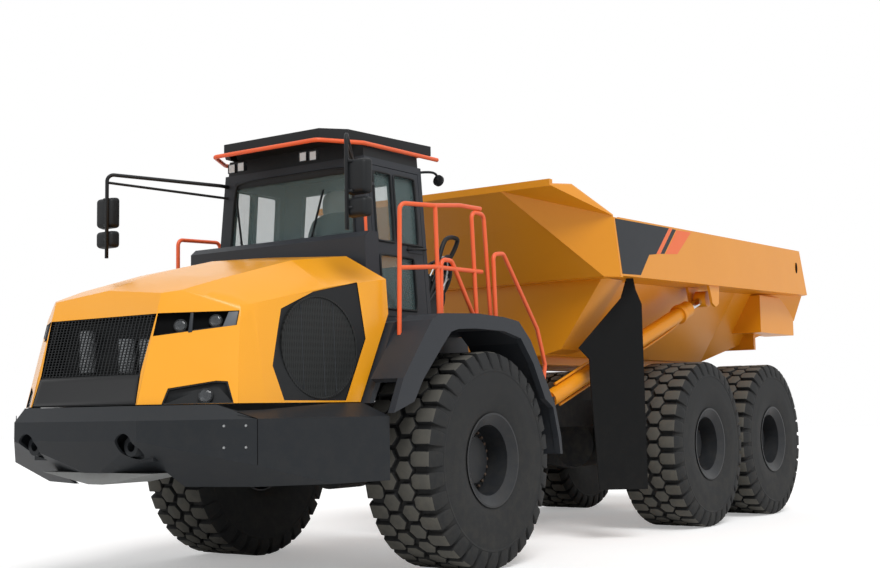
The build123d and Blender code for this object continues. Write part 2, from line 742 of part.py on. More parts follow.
def rear_frame():
    ring = bar((ring_nose, 0, trunnion_z), (trunnion_tail, 0, trunnion_z), trunnion_radius + ring_wall)
    ring = ring - bar((ring_nose + 10, 0, trunnion_z), (trunnion_tail - 10, 0, trunnion_z),
                      trunnion_radius + 0.05)
    rail = block(rear_rail_tail, trunnion_tail + 60, rear_rail_y - rail_width / 2,
                 rear_rail_y + rail_width / 2, rail_low, rail_high)
    nose = block(trunnion_tail - 100, trunnion_tail, -rear_rail_y, rear_rail_y,
                 trunnion_z - 300, rail_high)
    side = prism_z([(trunnion_tail - 100, 300), (trunnion_tail + 60, 460), (ring_nose - 20, 300),
                    (ring_nose - 20, 190), (trunnion_tail - 100, 190)], trunnion_z - 120, trunnion_z + 120)
    cross = [block(x, x + 160, -rear_rail_y, rear_rail_y, rail_low + 40, rail_high - 40)
             for x in (-3400, mid_axle_x + 700, -5620, rear_rail_tail)]
    lug = prism_y([(tip_x - 150, rail_high), (tip_x + 200, rail_high), (tip_x + 80, tip_z + 60),
                   (tip_x, tip_z + 95), (tip_x - 80, tip_z + 60)],
                  rear_rail_y - 30, rear_rail_y + 30)
    lug = lug - Pos(tip_x, rear_rail_y, tip_z) * Rot(90, 0, 0) * Cylinder(tip_pin_radius, 100)
    foot_x, foot_y, foot_z = hoist_foot
    arm = block(foot_x - 120, foot_x + 80, rear_rail_y, foot_y + 104, foot_z - 240, foot_z - 140)
    cheek = block(foot_x - 70, foot_x + 70, 0, 26, foot_z - 150, foot_z + 70)
    cheeks = [Pos(0, foot_y - 78 - 26, 0) * cheek, Pos(0, foot_y + 78, 0) * cheek]
    ball = Pos(*hoist_foot) * Sphere(hoist_ball_radius)
    pin = Pos(*hoist_foot) * Rot(90, 0, 0) * Cylinder(28, 180)
    guide = Plane(hoist_foot, z_dir=hoist_swing_axis()) * Cylinder(guide_pin_radius, 150)
    frame = both(rail + side + lug + arm + joined(cheeks) + (ball + guide + pin))
    return frame + ring + nose + joined(cross)


def rear_axles():
    return axle(mid_axle_x) + axle(rear_axle_x)


def walking_beams():
    middle = (mid_axle_x + rear_axle_x) / 2
    low, high = tyre_radius - 130 - 150, tyre_radius - 130
    side = [(mid_axle_x + 160, high), (mid_axle_x + 160, high - 90), (middle + 200, low - 60),
            (middle - 200, low - 60), (rear_axle_x - 160, high - 90), (rear_axle_x - 160, high),
            (rear_axle_x + 160, high), (middle - 200, high + 160), (middle + 200, high + 160),
            (mid_axle_x - 160, high)]
    beam = prism_y(side, 560, 720)
    post = block(middle - 160, middle + 160, rear_rail_y + rail_width / 2, 640, high, rail_high - 60)
    return both(beam + post)


# Load body

def body_half(x, wall=0):
    # half section of the load body at x: floor, sloping side, shelf and upright band
    if x >= body_mid_x:
        share = 0.0
    else:
        share = (x - body_mid_x) / (body_tail_x - body_mid_x)
    along = (x - body_front_x) / (body_tail_x - body_front_x)
    low = band_front_low + along * (band_tail_low - band_front_low)
    high = band_front_high + along * (band_tail_high - band_front_high)
    floor_y = floor_half + share * 700
    floor_at = floor_z + share * 570
    knee_y = 1310 + share * 310
    return [
        (floor_y - 0.4 * wall, floor_at + wall),
        (knee_y - 1.2 * wall, low - 10 + 0.4 * wall),
        (body_half_width - wall, low + wall),
        (body_half_width - wall, high + (200 if wall else 0)),
    ]


def body_section(x, at, wall=0):
    half = body_half(x, wall)
    return poly_x(half + [(-y, z) for y, z in reversed(half)], at)


post_section = [(790, 1940), (980, 1985), (body_half_width - 210, 2705), (1300, 2705)]  # y, z


def bed_shell():
    places = [body_front_x, body_mid_x, body_tail_x]
    hull = loft([body_section(x, x) for x in places], ruled=True)
    inner_places = [body_front_x - body_wall, body_mid_x, body_tail_x - 20]
    hollow = loft([body_section(x, x, body_wall) for x in inner_places], ruled=True)
    t = body_wall
    reach = body_half_width - t
    doorway = block(body_front_x - t - 5, body_front_x + 5, -reach, reach, 2712, band_tail_high)
    tail_cut = prism_y([(body_tail_x + 270, 3500), (body_tail_x, 2845), (body_tail_x - 50, 2845),
                        (body_tail_x - 50, 3500)], -body_half_width - 1, body_half_width + 1)
    shell = hull - hollow - doorway - tail_cut
    knee = (-2280, body_half_width - 124, 2700)
    ridge = (-1800, 1227, 3200)
    eave = (canopy_x, 910, 3535)
    rail_end = (canopy_x, canopy_half, 3540)
    high_end = (canopy_x - 360, canopy_half + 46, 3576)
    band_low = (body_front_x - 10, body_half_width, 2695)
    band_high = (-2280, body_half_width, band_front_high)
    flip = [(x, -y, z) for x, y, z in (knee, ridge, eave)]
    middle_push = (-0.8 * t, 0, 0.8 * t)
    side_push = (-0.8 * t, -0.5 * t, 0.8 * t)
    upper = panel([knee, ridge, flip[1], flip[0]], middle_push)
    canopy = panel([ridge, eave, flip[2], flip[1]], middle_push)
    wing = panel([knee, band_low, band_high, eave, ridge], side_push)
    brow = panel([eave, rail_end, band_high], side_push)
    fold = panel([rail_end, high_end, band_high], side_push)
    cheek = prism_y([(body_front_x - 60, 2694), (body_front_x - 60, 3300), (-2284, 3300),
                     (body_front_x - 16, 2694)], reach, body_half_width)
    sill_y = body_half_width - 130
    sill = prism_z([(body_front_x - 40, reach + 9), (-2290, sill_y), (-2290, -sill_y),
                    (body_front_x - 40, -reach - 9)], 2692, 2718)
    rail = block(canopy_x - 60, canopy_x, -canopy_half, canopy_half, 3530, canopy_z)
    post = prism_x(post_section, body_front_x - 450, body_front_x)
    outside = both(wing + brow + fold + cheek + post)
    lug = prism_y([(tip_x - 200, floor_z + 265), (tip_x + 260, floor_z + 85),
                   (tip_x + 60, tip_z - 60), (tip_x - 60, tip_z - 60)],
                  rear_rail_y + 40, rear_rail_y + 90)
    pin = Pos(tip_x, rear_rail_y, tip_z) * Rot(90, 0, 0) * Cylinder(tip_pin_radius - 0.05, 180)
    beam = block(body_mid_x, body_front_x - 200, 520, 640, floor_z - 90, floor_z + 10)
    eye_x, eye_y, eye_z = hoist_eye
    cheek_side = [(eye_x - 120, eye_z + 165), (eye_x + 180, eye_z + 165), (eye_x + 90, eye_z - 60),
                  (eye_x, eye_z - 100), (eye_x - 90, eye_z - 60)]
    outer_cheek = prism_y(cheek_side, body_half_width - 60, body_half_width - 30)
    inner_cheek = prism_y(cheek_side, eye_y - 130, eye_y - 100)
    under = both(lug + pin + beam + outer_cheek + inner_cheek)
    gusset = block(-6980, -6920, -1290, 1290, 2090, 2350) - hull
    tail_box = block(body_tail_x + 30, -6658, 1100, body_half_width - 200, 2300, 2780) - hull
    return joined([shell, upper, canopy, sill, rail, outside, under, gusset, both(tail_box)])


def mudflaps():
    # flaps that stand slantwise in plan, so that the hoist cylinders pass inside them
    outline = [  # y, z
        (body_half_width - 490, 1989), (body_half_width - 167, 2509), (body_half_width - 120, 2725),
        (body_half_width - 75, 2725), (body_half_width - 58, 2595),
        (body_half_width - 16, 2445), (body_half_width - 12, 522), (body_half_width - 365, 528),
        (body_half_width - 411, 1640), (body_half_width - 414, 1872),
    ]
    nose, tail = (-2430, body_half_width - 440), (-2880, body_half_width - 30)
    slope = (tail[0] - nose[0]) / (tail[1] - nose[1])
    corners = [(nose[0] + (y - nose[1]) * slope, y, z) for y, z in outline]
    hull = loft([body_section(x, x) for x in (body_front_x, body_mid_x)], ruled=True)
    face = Face(Wire.make_polygon([Vector(*corner) for corner in corners]))
    flap = Solid.extrude(face, Vector(-20, -20, 0)) - hull
    flap = flap - prism_x(post_section, body_front_x - 450, body_front_x)
    return both(flap)


# Cylinders

def hoist_directions():
    # unit vector from foot to eye at rest, and the eye's place with the body fully tipped
    foot, eye = Vector(*hoist_foot), Vector(*hoist_eye)
    arm_x, arm_z = eye.X - tip_x, eye.Z - tip_z
    turn = radians(tip_angle)
    tipped = Vector(tip_x + arm_x * cos(turn) - arm_z * sin(turn), eye.Y,
                    tip_z + arm_x * sin(turn) + arm_z * cos(turn))
    return foot, eye, tipped


def hoist_swing_axis():
    # square to both the rest and the fully tipped direction of the left cylinder
    foot, eye, tipped = hoist_directions()
    return (eye - foot).cross(tipped - foot).normalized()


def cylinder_barrel(foot, eye, radius, eye_radius, ball_radius, eye_half, length, bore, pin_axis,
                    guide_axis=None):
    way = (eye - foot).normalized()
    start = foot + way * (eye_radius * 1.25)
    end = foot + way * length
    body = bar(tuple(start), tuple(end), radius)
    gland = bar(tuple(foot + way * (length - 150)), tuple(end), radius * 1.12)
    turn = Plane(tuple(foot), z_dir=pin_axis)
    knuckle = turn * Cylinder(eye_radius, 2 * eye_half)
    neck = bar(tuple(foot), tuple(foot + way * eye_radius * 1.4), eye_radius * 0.5)
    barrel = body + gland + neck + knuckle
    barrel = barrel - bar(tuple(foot + way * (eye_radius * 1.7)), tuple(end + way * 10), bore)
    barrel = barrel - turn * Cylinder(ball_radius * 0.8, 3 * eye_half)
    if guide_axis is not None:
        barrel = barrel - Plane(tuple(foot), z_dir=guide_axis) * Cylinder(guide_pin_radius + running_gap, 170)
    return barrel - Pos(*foot) * Sphere(ball_radius + running_gap)


def cylinder_rod(foot, eye, radius, eye_radius, eye_half, inner_end, pin_axis):
    way = (eye - foot).normalized()
    shaft = bar(tuple(foot + way * inner_end), tuple(eye), radius)
    knuckle = Plane(tuple(eye), z_dir=pin_axis) * Cylinder(eye_radius, 2 * eye_half)
    return shaft + knuckle


def hoist_barrel():
    foot, eye, tipped = hoist_directions()
    length = (eye - foot).length
    return cylinder_barrel(foot, eye, hoist_barrel_radius, 100, hoist_ball_radius, 60,
                           length - 330, hoist_rod_radius + running_gap, (0, 1, 0), hoist_swing_axis())


def hoist_rod():
    foot, eye, tipped = hoist_directions()
    return cylinder_rod(foot, eye, hoist_rod_radius, 90, 70, 230, (0, 1, 0))


def steer_barrel():
    foot, eye = Vector(*steer_foot), Vector(*steer_eye)
    length = (eye - foot).length
    return cylinder_barrel(foot, eye, steer_barrel_radius, 65, 42, 34,
                           length - 390, steer_rod_radius + running_gap, (0, 0, 1))


def steer_rod():
    foot, eye = Vector(*steer_foot), Vector(*steer_eye)
    return cylinder_rod(foot, eye, steer_rod_radius, 60, 34, 340, (0, 0, 1))


def nodes():
    pieces = {
        "front_frame": front_frame(),
        "front_axle": front_axle(),
        "engine_block": engine_block(),
        "bumper": bumper(),
        "skid_plate": skid_plate(),
        "fenders": fenders(),
        "deck": deck(),
        "cowl": cowl(),
        "cab_shell": cab_shell(),
        "cab_roof": cab_roof(),
        "cab_glass": cab_glass(),
        "door_frame": door_frame(),
        "door_glass": door_glass(),
        "seat": seat(),
        "dashboard": dashboard(),
        "roof_rail": roof_rail(),
        "handrails": handrails(),
        "mirrors": mirrors(),
        "service_stack": service_stack(),
        "hood_shell": hood_shell(),
        "grille": grille(),
        "side_screens": side_screens(),
        "headlamps": headlamps(),
        "hitch": hitch(),
        "rear_frame": rear_frame(),
        "rear_axles": rear_axles(),
        "walking_beams": walking_beams(),
        "bed_shell": bed_shell(),
        "mudflaps": mudflaps(),
    }
    for name, make in [("hoist_barrel", hoist_barrel), ("hoist_rod", hoist_rod),
                       ("steer_barrel", steer_barrel), ("steer_rod", steer_rod)]:
        left = make()
        pieces[name + "_left"] = left
        pieces[name + "_right"] = mirrored(left)
    tyre_shape, rim_shape = tyre(), rim()
    for name, x, side in wheel_places:
        pieces["tyre_" + name] = wheel_place(x, side) * tyre_shape
        pieces["rim_" + name] = wheel_place(x, side) * rim_shape
    return pieces


def main():
    os.makedirs("parts", exist_ok=True)
    for name, shape in nodes().items():
        export_step(Pos(origin_shift, 0, 0) * shape, f"parts/{name}.step")


main()
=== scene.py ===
import json
from math import cos, pi, radians, sin, sqrt

import bmesh
import bpy
from mathutils import Matrix, Vector


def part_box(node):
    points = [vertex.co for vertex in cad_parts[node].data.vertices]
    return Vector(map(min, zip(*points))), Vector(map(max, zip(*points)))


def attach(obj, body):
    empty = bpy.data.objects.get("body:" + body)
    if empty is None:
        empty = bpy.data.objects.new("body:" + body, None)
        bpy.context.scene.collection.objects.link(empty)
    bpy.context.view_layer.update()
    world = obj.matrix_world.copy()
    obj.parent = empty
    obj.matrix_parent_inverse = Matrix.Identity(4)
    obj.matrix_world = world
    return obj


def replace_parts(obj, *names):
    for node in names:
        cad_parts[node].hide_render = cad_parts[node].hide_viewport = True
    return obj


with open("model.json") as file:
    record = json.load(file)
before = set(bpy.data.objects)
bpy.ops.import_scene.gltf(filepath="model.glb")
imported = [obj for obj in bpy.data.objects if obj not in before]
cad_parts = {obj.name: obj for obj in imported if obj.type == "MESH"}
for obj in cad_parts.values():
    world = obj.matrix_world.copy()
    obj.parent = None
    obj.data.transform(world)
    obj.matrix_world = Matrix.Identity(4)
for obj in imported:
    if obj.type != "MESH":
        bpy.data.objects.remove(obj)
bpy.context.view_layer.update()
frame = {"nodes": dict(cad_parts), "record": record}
nodes = frame["nodes"]
origin_shift = 2.36  # X of the front axle in this frame
mid_axle = -4.555 + origin_shift
rear_axle = -6.495 + origin_shift
tyre_radius = 0.9375
track_half = 1.32
wheels = {
    "front_left": (origin_shift, 1), "front_right": (origin_shift, -1),
    "mid_left": (mid_axle, 1), "mid_right": (mid_axle, -1),
    "rear_left": (rear_axle, 1), "rear_right": (rear_axle, -1),
}
sides = ((1, "left"), (-1, "right"))
weld_gap = 0.0001  # vertices closer than this are one


# Camera and daylight studio

photo_width = 880
photo_focal = 1312.7  # in the photograph's pixels
film_width = 36


def photo_camera():
    # the camera's place and turn, fitted to the photograph's perspective
    yaw, pitch, roll = radians(-144.82), radians(5.45), radians(-0.98)
    ahead = Vector((cos(pitch) * cos(yaw), cos(pitch) * sin(yaw), sin(pitch)))
    right = ahead.cross(Vector((0, 0, 1))).normalized()
    up = right.cross(ahead)
    tilted_right = right * cos(roll) + up * sin(roll)
    tilted_up = up * cos(roll) - right * sin(roll)
    data = bpy.data.cameras.new("photo_camera")
    data.sensor_width = film_width
    data.lens = photo_focal / photo_width * film_width
    data.clip_end = 200
    camera = bpy.data.objects.new("photo_camera", data)
    bpy.context.collection.objects.link(camera)
    turn = Matrix((tilted_right, tilted_up, -ahead)).transposed().to_4x4()
    camera.matrix_world = Matrix.Translation((9.555 + origin_shift, 7.874, 1.381)) @ turn
    bpy.context.scene.camera = camera


def sun(name, energy, width, place, aim):
    # one broad sun for the soft shadow
    data = bpy.data.lights.new(name, "SUN")
    data.energy = energy
    data.angle = width
    light = bpy.data.objects.new(name, data)
    bpy.context.collection.objects.link(light)
    way = Vector(aim) - Vector(place)
    light.rotation_euler = way.to_track_quat("-Z", "Y").to_euler()
    light.location = place


def linear(hex_colour):
    # an sRGB hex value as linear light, with a full alpha
    channels = [int(hex_colour[i:i + 2], 16) / 255 for i in (1, 3, 5)]
    return [c / 12.92 if c <= 0.04045 else ((c + 0.055) / 1.055) ** 2.4 for c in channels] + [1]


def node(tree, kind, settings=None, **links):
    # adds one shader node; settings are its own values, links its inputs: a socket or a plain value
    made = tree.nodes.new(kind)
    for key, value in (settings or {}).items():
        setattr(made, key, value)
    for key, value in links.items():
        name = key.replace("_", " ")
        socket = made.inputs[int(key[1:])] if key[0] == "i" and key[1:].isdigit() else made.inputs[name]
        if isinstance(value, bpy.types.NodeSocket):
            tree.links.new(value, socket)
        else:
            socket.default_value = value
    return made


def ramp(made, stops):
    # sets a ramp node's stops: a place and either a colour or a plain grey level
    points = made.color_ramp.elements
    while len(points) < len(stops):
        points.new(0.5)
    for point, (place, colour) in zip(points, stops):
        point.position = place
        point.color = linear(colour) if isinstance(colour, str) else (colour, colour, colour, 1)
    return made.outputs["Color"]


def finish(name):
    # a new material with only its surface shader
    made = bpy.data.materials.new(name)
    made.use_nodes = True
    tree = made.node_tree
    return made, tree, tree.nodes["Principled BSDF"]


def painted_sheet(name, fresh, worn, dust, roughness, dust_share=0.35, grain=0.0, shine=0.5):
    # sprayed enamel on steel plate: soft gloss, faint mottling, and pale dust low down
    made, tree, skin = finish(name)
    skin.inputs["Specular IOR Level"].default_value = shine
    place = node(tree, "ShaderNodeTexCoord").outputs["Object"]
    clouds = node(tree, "ShaderNodeTexNoise", Vector=place, Scale=1.3, Detail=5.0, Roughness=0.6)
    tone = node(tree, "ShaderNodeMix", {"data_type": "RGBA"}, i0=clouds.outputs["Fac"],
                i6=linear(fresh), i7=linear(worn))
    height = node(tree, "ShaderNodeSeparateXYZ", Vector=place).outputs["Z"]
    low = node(tree, "ShaderNodeMapRange", Value=height)
    low.inputs["From Min"].default_value = 2.2
    low.inputs["From Max"].default_value = 0.4
    low.inputs["To Max"].default_value = dust_share
    specks = node(tree, "ShaderNodeTexNoise", Vector=place, Scale=9.0, Detail=8.0, Roughness=0.7)
    spread = ramp(node(tree, "ShaderNodeValToRGB", Fac=specks.outputs["Fac"]), [(0.42, 0.0), (0.68, 1.0)])
    share = node(tree, "ShaderNodeMath", {"operation": "MULTIPLY"}, i0=low.outputs["Result"], i1=spread)
    dusty = node(tree, "ShaderNodeMix", {"data_type": "RGBA"}, i0=share.outputs["Value"],
                 i6=tone.outputs[2], i7=linear(dust))
    tree.links.new(dusty.outputs[2], skin.inputs["Base Color"])
    gloss = node(tree, "ShaderNodeMapRange", Value=specks.outputs["Fac"])
    gloss.inputs["To Min"].default_value = roughness - 0.03
    gloss.inputs["To Max"].default_value = roughness + 0.06
    tree.links.new(gloss.outputs["Result"], skin.inputs["Roughness"])
    fine = node(tree, "ShaderNodeTexNoise", Vector=place, Scale=160.0 if grain else 30.0, Detail=2.0)
    relief = node(tree, "ShaderNodeBump", Height=fine.outputs["Fac"], Strength=0.005 + grain, Distance=0.002)
    tree.links.new(relief.outputs["Normal"], skin.inputs["Normal"])
    return made


# name, fresh, worn and dust colours, roughness, dust share and grain; behind each what it gives the eye
hood_enamel = painted_sheet("hood_enamel", "#FDAE26", "#F9A61C", "#D9962F", 0.24, 0.05)  # wet, even gloss
body_enamel = painted_sheet("body_enamel", "#EE9A14", "#E6920E", "#B98748", 0.36, 0.2)  # satin, dusty low
charcoal_powder_coat = painted_sheet("charcoal_powder_coat", "#33363B", "#2D3035", "#55514A", 0.48, 0.15, 0.1,
                                     shine=0.25)  # satin with a fine orange peel
bumper_powder_coat = painted_sheet("bumper_powder_coat", "#26292D", "#222528", "#4C4842", 0.46, 0.15, 0.1,
                                   shine=0.2)  # the same, near black
chassis_paint = painted_sheet("chassis_paint", "#222426", "#2B2D2F", "#5B554B", 0.55, 0.45,
                              shine=0.25)  # dull and dirty low down
guard_grey_paint = painted_sheet("guard_grey_paint", "#8F9190", "#828483", "#6F685D", 0.5, 0.3)  # flat grey
rail_powder_coat = painted_sheet("rail_powder_coat", "#F76B39", "#EE6030", "#B5714C", 0.38, 0.1)  # satin
rim_enamel = painted_sheet("rim_enamel", "#2B2D30", "#25272A", "#4F4B44", 0.4, 0.25,
                           shine=0.3)  # dark satin under dust
moulded_black = painted_sheet("moulded_black", "#181A1C", "#1F2123", "#4E4A43", 0.48, 0.15, 0.12,
                              shine=0.25)  # moulded ABS: a fine grain that breaks the shine
flap_rubber = painted_sheet("flap_rubber", "#0A0B0C", "#0F1011", "#2A2825", 0.75, 0.25, 0.1,
                            shine=0.2)  # cut rubber sheet: near black and matt
tyre_rubber = painted_sheet("tyre_rubber", "#252627", "#2E2F30", "#4B4842", 0.75, 0.3, 0.1,
                            shine=0.25)  # vulcanised rubber: dark grey, powdery
seat_cloth = painted_sheet("seat_cloth", "#2A2B2E", "#34363A", "#3A3A3A", 0.85, 0.0, 0.2)  # woven, no shine
worn_tread = painted_sheet("worn_tread", "#504F4B", "#5E5C56", "#6E6A60", 0.85, 0.5, 0.15,
                           shine=0.25)  # rubber rubbed pale by gravel
corroded_bolts = painted_sheet("corroded_bolts", "#4B4641", "#6B4F3C", "#7A6A58", 0.6, 0.3, 0.05)  # rusty
bottle_grey = painted_sheet("bottle_grey", "#C3C7CA", "#B7BBBE", "#A9A59B", 0.42, 0.1)  # pale satin enamel
gloss_black = painted_sheet("gloss_black", "#141517", "#1A1B1D", "#35322E", 0.2, 0.1,
                            shine=0.3)  # polished ABS: a sharp reflection
bumper_top_grey = painted_sheet("bumper_top_grey", "#5E6268", "#565A60", "#6B665C", 0.5, 0.2, 0.05)  # flat
hood_inside_shade = painted_sheet("hood_inside_shade", "#0E0F10", "#141516", "#1E1E1E", 0.9, 0.0,
                             shine=0.1)  # painted shade for the hood's unlit inside: flat black, no highlight
hose_rubber = painted_sheet("hose_rubber", "#141516", "#1B1C1E", "#3A3833", 0.5, 0.1, 0.05,
                            shine=0.3)  # extruded rubber: one soft line of light
shadow_gap = painted_sheet("shadow_gap", "#0B0B0C", "#101011", "#1A1A1A", 0.9, 0.0,
                           shine=0.1)  # unlit steel in a gap or a hole
charcoal_stripe = painted_sheet("charcoal_stripe", "#272A2F", "#2C3035", "#5A564E", 0.45, 0.1,
                                shine=0.2)  # vinyl film: flat colour, faint sheen
coral_stripe = painted_sheet("coral_stripe", "#F97A48", "#F27342", "#C78B6E", 0.45, 0.1,
                             shine=0.3)  # the same film in orange
pale_lens = painted_sheet("pale_lens", "#C9CBCC", "#BBBDBE", "#A9A9A7", 0.15, 0.0)  # frosted polycarbonate
pale_seat_cloth = painted_sheet("pale_seat_cloth", "#A9AAA8", "#9C9D9B", "#9C9D9B", 0.85, 0.0, 0.2)  # woven


def wire_screen(name, ground, wire, pitch):
    # a screen of fine upright wires over painted shade, the dark seen through it; the pitch is drawn wider
    # than the real one, to show
    made, tree, skin = finish(name)
    place = node(tree, "ShaderNodeTexCoord").outputs["Object"]
    wires = node(tree, "ShaderNodeTexWave", {"bands_direction": "X"}, Vector=place, Scale=pi / (10 * pitch))
    cross = node(tree, "ShaderNodeTexWave", {"bands_direction": "Z"}, Vector=place, Scale=pi / (30 * pitch))
    both_ways = node(tree, "ShaderNodeMath", {"operation": "MAXIMUM"}, i0=wires.outputs["Fac"],
                     i1=node(tree, "ShaderNodeMath", {"operation": "MULTIPLY"}, i0=cross.outputs["Fac"],
                             i1=0.6).outputs["Value"])
    tone = node(tree, "ShaderNodeMix", {"data_type": "RGBA"}, i0=both_ways.outputs["Value"],
                i6=linear(ground), i7=linear(wire))
    tree.links.new(tone.outputs[2], skin.inputs["Base Color"])
    skin.inputs["Roughness"].default_value = 0.55
    skin.inputs["Specular IOR Level"].default_value = 0.25
    relief = node(tree, "ShaderNodeBump", Height=both_ways.outputs["Value"], Strength=0.4, Distance=0.004)
    tree.links.new(relief.outputs["Normal"], skin.inputs["Normal"])
    return made


# its near-black ground is painted shade seen between the wires
screen_mesh = wire_screen("screen_mesh", "#0D0E0E", "#2A2C2C", 0.018)


def clear_glass(name, tint, see_through):
    # float glass or clear polycarbonate: a thin tint under a sharp reflection
    made, tree, skin = finish(name)
    skin.inputs["Base Color"].default_value = linear(tint)
    skin.inputs["Roughness"].default_value = 0.04
    skin.inputs["Alpha"].default_value = see_through
    made.surface_render_method = "BLENDED"
    return made


window_glass = clear_glass("window_glass", "#7E9796", 0.22)
lamp_glass = clear_glass("lamp_glass", "#DDE2E4", 0.5)
smoked_glass = clear_glass("smoked_glass", "#4A4D50", 0.55)


def polished(name, colour, roughness):
    # bare or plated metal: a mirror when smooth, a soft sheen when rougher
    made, tree, skin = finish(name)
    skin.inputs["Base Color"].default_value = linear(colour)
    skin.inputs["Metallic"].default_value = 1.0
    skin.inputs["Roughness"].default_value = roughness
    return made


chrome_plate = polished("chrome_plate", "#D9DBDC", 0.12)
bare_zinc = polished("bare_zinc", "#A5A7A8", 0.4)
smoked_bowl = polished("smoked_bowl", "#6A6D70", 0.3)

cad_finish = {  # the solids' slots and the finish that each one gets
    "frame_black": chassis_paint, "charcoal_paint": charcoal_powder_coat,
    "light_grey_paint": guard_grey_paint, "hood_yellow": hood_enamel, "body_yellow": body_enamel,
    "chrome_rod": chrome_plate, "rail_orange": rail_powder_coat, "window_glass": window_glass,
    "lamp_plastic": lamp_glass, "black_plastic": moulded_black, "seat_fabric": seat_cloth,
    "flap_rubber": flap_rubber, "tyre_rubber": tyre_rubber, "rim_paint": rim_enamel,
}
for part in frame["record"]["subparts"]:
    mesh = nodes[part["node"]].data
    mesh.materials.clear()
    mesh.materials.append(cad_finish[part["material_slot"]])
nodes["bumper"].data.materials[0] = bumper_powder_coat
nodes["cab_roof"].data.materials[0] = moulded_black


# Modelling helpers: every piece starts as one primitive and is worked on in edit mode

def start(kind, name, place=(0, 0, 0), turn=(0, 0, 0), **sizes):
    # one primitive with its place and turn applied
    bpy.ops.object.select_all(action="DESELECT")
    getattr(bpy.ops.mesh, f"primitive_{kind}_add")(location=place, rotation=turn, **sizes)
    made = bpy.context.object
    made.name = name
    bpy.ops.object.transform_apply(location=True, rotation=True, scale=True)
    return made


def only(made):
    bpy.ops.object.select_all(action="DESELECT")
    made.select_set(True)
    bpy.context.view_layer.objects.active = made


def choose(made, test):
    # opens edit mode with the faces that pass a test of their middle and direction
    only(made)
    bpy.ops.object.mode_set(mode="EDIT")
    bpy.ops.mesh.select_mode(type="FACE")
    bpy.ops.mesh.select_all(action="DESELECT")
    grid = bmesh.from_edit_mesh(made.data)
    for face in grid.faces:
        if test(face.calc_center_median(), face.normal):
            face.select_set(True)
    bmesh.update_edit_mesh(made.data)


def leave():
    bpy.ops.object.mode_set(mode="OBJECT")


def push(way):
    bpy.ops.mesh.extrude_region_move(TRANSFORM_OT_translate={"value": way})


def scale(share, centre):
    bpy.ops.transform.resize(value=share, center_override=centre)


def soften(made, width, segments=2, angle=30):
    # rounds every edge sharper than an angle
    only(made)
    modifier = made.modifiers.new("round", "BEVEL")
    modifier.width = width
    modifier.segments = segments
    modifier.limit_method = "ANGLE"
    modifier.angle_limit = radians(angle)
    bpy.ops.object.modifier_apply(modifier="round")


def copied(made, name, matrix):
    # a copy with a mesh of its own, moved in its vertices
    bpy.ops.object.select_all(action="DESELECT")
    twin = made.copy()
    twin.data = made.data.copy()
    twin.data.transform(matrix)
    if matrix.determinant() < 0:
        twin.data.flip_normals()
    twin.name = name
    bpy.context.collection.objects.link(twin)
    return twin


def merged(pieces, name):
    bpy.ops.object.select_all(action="DESELECT")
    for piece in pieces:
        piece.select_set(True)
    bpy.context.view_layer.objects.active = pieces[0]
    bpy.ops.object.join()
    pieces[0].name = name
    return pieces[0]


def fit(made, material, body, replaces=(), angle=35):
    # gives a finished piece its surface and the body it rides on
    only(made)
    bpy.ops.object.shade_smooth_by_angle(angle=radians(angle))
    if material is not None:
        made.data.materials.clear()
        made.data.materials.append(material)
    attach(made, body)
    if replaces:
        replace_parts(made, *replaces)
    return made


mirror_y = Matrix.Scale(-1, 4, (0, 1, 0))


def facing(side):
    # turns a left-hand piece half round for the right side
    return Matrix.Identity(4) if side == 1 else Matrix.Rotation(pi, 4, "Z")


def welded(node_name, name):
    # a copy of one node's mesh with its doubled vertices merged, left open in edit mode
    made = copied(nodes[node_name], name, Matrix.Identity(4))
    only(made)
    bpy.ops.object.mode_set(mode="EDIT")
    bpy.ops.mesh.select_all(action="SELECT")
    bpy.ops.mesh.remove_doubles(threshold=weld_gap)
    return made


def at(x, y, z):
    # a place measured from the front axle, in metres
    return (x + origin_shift, y, z)


def box(name, low, high):
    # a cube between two corners measured from the front axle
    middle = [(a + b) / 2 for a, b in zip(low, high)]
    return start("cube", name, at(*middle), size=1, scale=[b - a for a, b in zip(low, high)])


def disc(name, centre, out, radius, depth, vertices=32):
    # a round blank whose back face lies at a centre and which stands along a direction
    way = Vector(out).normalized()
    turn = way.to_track_quat("Z", "Y").to_euler()
    middle = Vector(centre) + way * depth / 2
    return start("cylinder", name, middle, turn, vertices=vertices, radius=radius, depth=depth)


def slab(name, corners, thickness):
    # a flat plate: one plane primitive whose corners are pulled to their places, then made thick
    made = start("circle", name, vertices=len(corners), radius=1, fill_type="NGON")
    only(made)
    for vertex, corner in zip(made.data.vertices, corners):
        vertex.co = at(*corner)
    made.data.update()
    modifier = made.modifiers.new("thick", "SOLIDIFY")
    modifier.thickness = thickness
    modifier.offset = 0
    bpy.ops.object.modifier_apply(modifier="thick")
    bpy.ops.object.mode_set(mode="EDIT")
    bpy.ops.mesh.select_all(action="SELECT")
    bpy.ops.mesh.normals_make_consistent(inside=False)
    leave()
    return made


def pipe(name, points, radius, material, body, steps=10, ring=10):
    # a smooth round line through places measured from the front axle, turned into a mesh
    curve = bpy.data.curves.new(name, "CURVE")
    curve.dimensions = "3D"
    curve.bevel_depth = radius
    curve.bevel_resolution = ring // 4
    curve.use_fill_caps = True
    spline = curve.splines.new("NURBS")
    spline.points.add(len(points) - 1)
    for point, place in zip(spline.points, points):
        point.co = (*at(*place), 1)
    spline.order_u = 3
    spline.use_endpoint_u = True
    spline.resolution_u = steps
    raw = bpy.data.objects.new(name, curve)
    bpy.context.collection.objects.link(raw)
    only(raw)
    bpy.ops.object.convert(target="MESH")
    return fit(bpy.context.object, material, body, angle=50)


# Tyres: a carcass with sidewall rings, two rows of hexagonal blocks and a row of lugs on each shoulder

